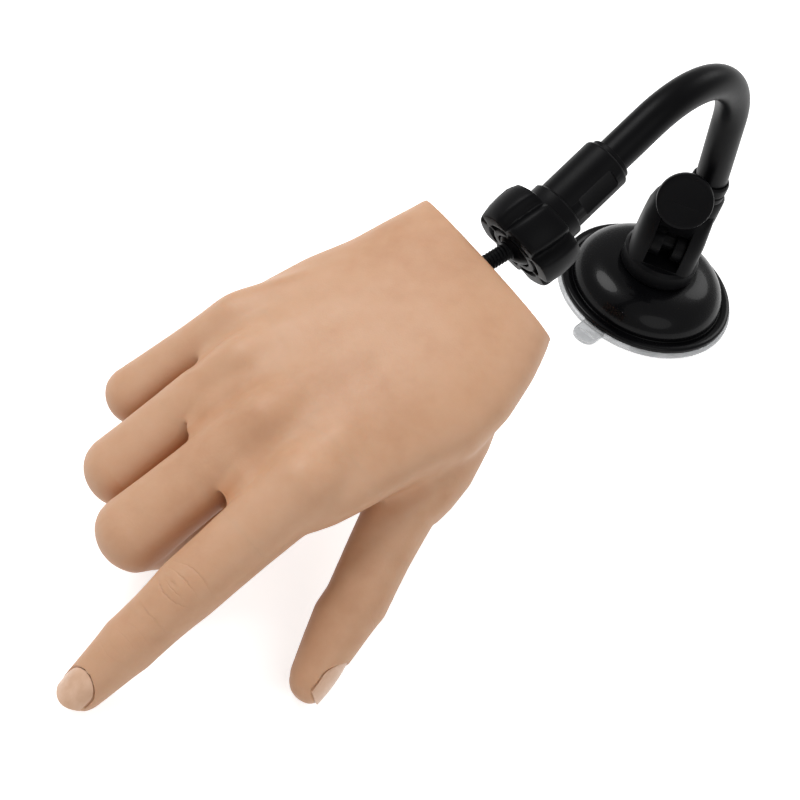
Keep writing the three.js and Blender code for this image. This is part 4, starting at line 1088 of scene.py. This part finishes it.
def buildLever():
    pinY, pinZ = lever["pin"]
    padX, padY, padZ = lever["pad"]
    lean = atan2(pinY - padY, padZ - pinZ)
    reach = hypot(pinY - padY, padZ - pinZ)
    place = Matrix.Translation((0, pinY * mm, pinZ * mm)) @ Matrix.Rotation(lean, 4, "X")
    r, t = lever["padRadius"], lever["padThickness"] / 2
    padTurn = Matrix.Rotation(radians(90 - lever["lean"]), 4, "X")
    padTurn = Matrix.Translation((padX * mm, padY * mm, padZ * mm)) @ padTurn
    outline = [(0, -t), (r - 0.9, -t), (r - 0.2, -t + 0.3), (r, -t + 0.9), (r, t - 0.9), (r - 0.2, t - 0.3),
               (r - 0.9, t), (r - 2.2, t - 0.25), (0, t - 0.35)]
    pad = lathe("leverShell", outline, 72, padTurn, closed=False)
    bm = bmesh.new()
    half, blade, gap = lever["half"], lever["blade"], lever["gap"]
    blockMesh(bm, -half, half, -blade, blade, lever["bladeFrom"], reach, place)
    blockMesh(bm, -half, -gap, -blade, blade, 0, lever["earTop"], place)
    blockMesh(bm, gap, half, -blade, blade, 0, lever["earTop"], place)
    for side in (-1, 1):
        cam = bmesh.ops.create_cone(bm, cap_ends=True, segments=40, radius1=lever["cam"] * mm,
                                    radius2=lever["cam"] * mm, depth=lever["camWidth"] * mm)["verts"]
        seat = Matrix.Translation((side * lever["camAt"] * mm, (pinY - lever["camBack"]) * mm, pinZ * mm))
        bmesh.ops.transform(bm, matrix=seat @ Matrix.Rotation(radians(90), 4, "Y"), verts=cam)
    carve(pad, newObject("bladeTool", bm), "UNION")
    bevelEdges(pad, 0.35, 3, 40)
    pad.data.set_sharp_from_angle(angle=radians(lever["sharp"]))
    dress(pad, "satin")
    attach(pad, "lever")
    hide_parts("cam_lever")


buildLever()
print("base, turret and lever made")

# The other CAD nodes keep their shape and take their finish
plain = {"steel": ["palm_frame"], "lining": ["wrist_plug"], "satin": ["ball_seat", "pull_stem", "lever_pin"]}
plain["steel"] += [f"{name}_{part}_bone" for name, finger in fingers.items() for part in finger["names"]]
for finish, names in plain.items():
    for name in names:
        node = frame["nodes"][name]
        node.data.materials.clear()
        node.data.materials.append(finishes[finish])

# Room, light and camera
studio = {"floorSize": 6.0, "floorTone": 0.86, "floorGlow": 0.62, "world": 0.52, "target": (-0.07, -0.12, 0.05)}
# place, power and size
lamps = {"keyLamp": ((-0.75, 0.15, 1.15), 10.0, 0.7), "fillLamp": ((0.55, -0.9, 0.9), 3.0, 1.0),
         "backLamp": ((0.5, 0.8, 0.7), 2.4, 0.5)}


def seenDirectly(tree, *rays):
    path = addNode(tree, "LightPath")
    seen = path[rays[0]]
    for ray in rays[1:]:
        seen = addMath(tree, "MAXIMUM", seen, path[ray])
    return seen


def whiteGround():
    # the glow is only for the camera and for what it sees by mirror or through the film
    ground, tree, shader, _ = makeFinish("paleFloor")
    tree.nodes.remove(shader)
    tone = studio["floorTone"]
    diffuse = addNode(tree, "BsdfDiffuse", {"Color": (tone, tone, tone, 1)})[0]
    glow = addNode(tree, "Emission", {"Color": (1, 1, 1, 1), "Strength": studio["floorGlow"]})[0]
    both = addNode(tree, "AddShader", {0: diffuse, 1: glow})[0]
    seen = seenDirectly(tree, "Is Camera Ray", "Is Glossy Ray", "Is Transmission Ray")
    pick = addNode(tree, "MixShader", {0: seen, 1: diffuse, 2: both})[0]
    feed(tree, tree.nodes["Material Output"], {"Surface": pick})
    return ground


def buildRoom():
    bm = bmesh.new()
    bmesh.ops.create_grid(bm, x_segments=1, y_segments=1, size=studio["floorSize"])
    floor = newObject("studioFloor", bm, False)
    floor.data.materials.append(whiteGround())
    world = bpy.data.worlds.new("paleRoom")
    scene.world = world
    world.use_nodes = True
    tree = world.node_tree
    seen = seenDirectly(tree, "Is Camera Ray", "Is Transmission Ray")
    strength = addMath(tree, "MAXIMUM", seen, studio["world"])
    feed(tree, tree.nodes["Background"], {"Color": (1, 1, 1, 1), "Strength": strength})


def addLamp(name, place, power, size):
    data = bpy.data.lights.new(name, "AREA")
    data.energy = power
    data.shape = "DISK"
    data.size = size
    lamp = bpy.data.objects.new(name, data)
    lamp.location = place
    lamp.rotation_euler = (Vector(studio["target"]) - Vector(place)).to_track_quat("-Z", "Y").to_euler()
    scene.collection.objects.link(lamp)


buildRoom()
for name, settings in lamps.items():
    addLamp(name, *settings)

view = {"elevation": 46.5, "roll": 20.1, "eye": (-0.0764, -0.5655, 0.4884), "lens": 83.7}


def buildCamera():
    e, roll = radians(view["elevation"]), radians(view["roll"])
    back = Vector((0, -cos(e), sin(e)))
    rise = Vector((0, sin(e), cos(e)))
    right = xAxis * cos(roll) + rise * sin(roll)
    up = rise * cos(roll) - xAxis * sin(roll)
    data = bpy.data.cameras.new("photoView")
    data.lens = view["lens"]
    data.sensor_width = 36
    data.clip_start = 0.01
    camera = bpy.data.objects.new("photoView", data)
    camera.matrix_world = axesMatrix(right, up, back, view["eye"])
    scene.collection.objects.link(camera)
    scene.camera = camera


buildCamera()
scene.view_settings.view_transform = "Standard"
print("room, light and camera made")
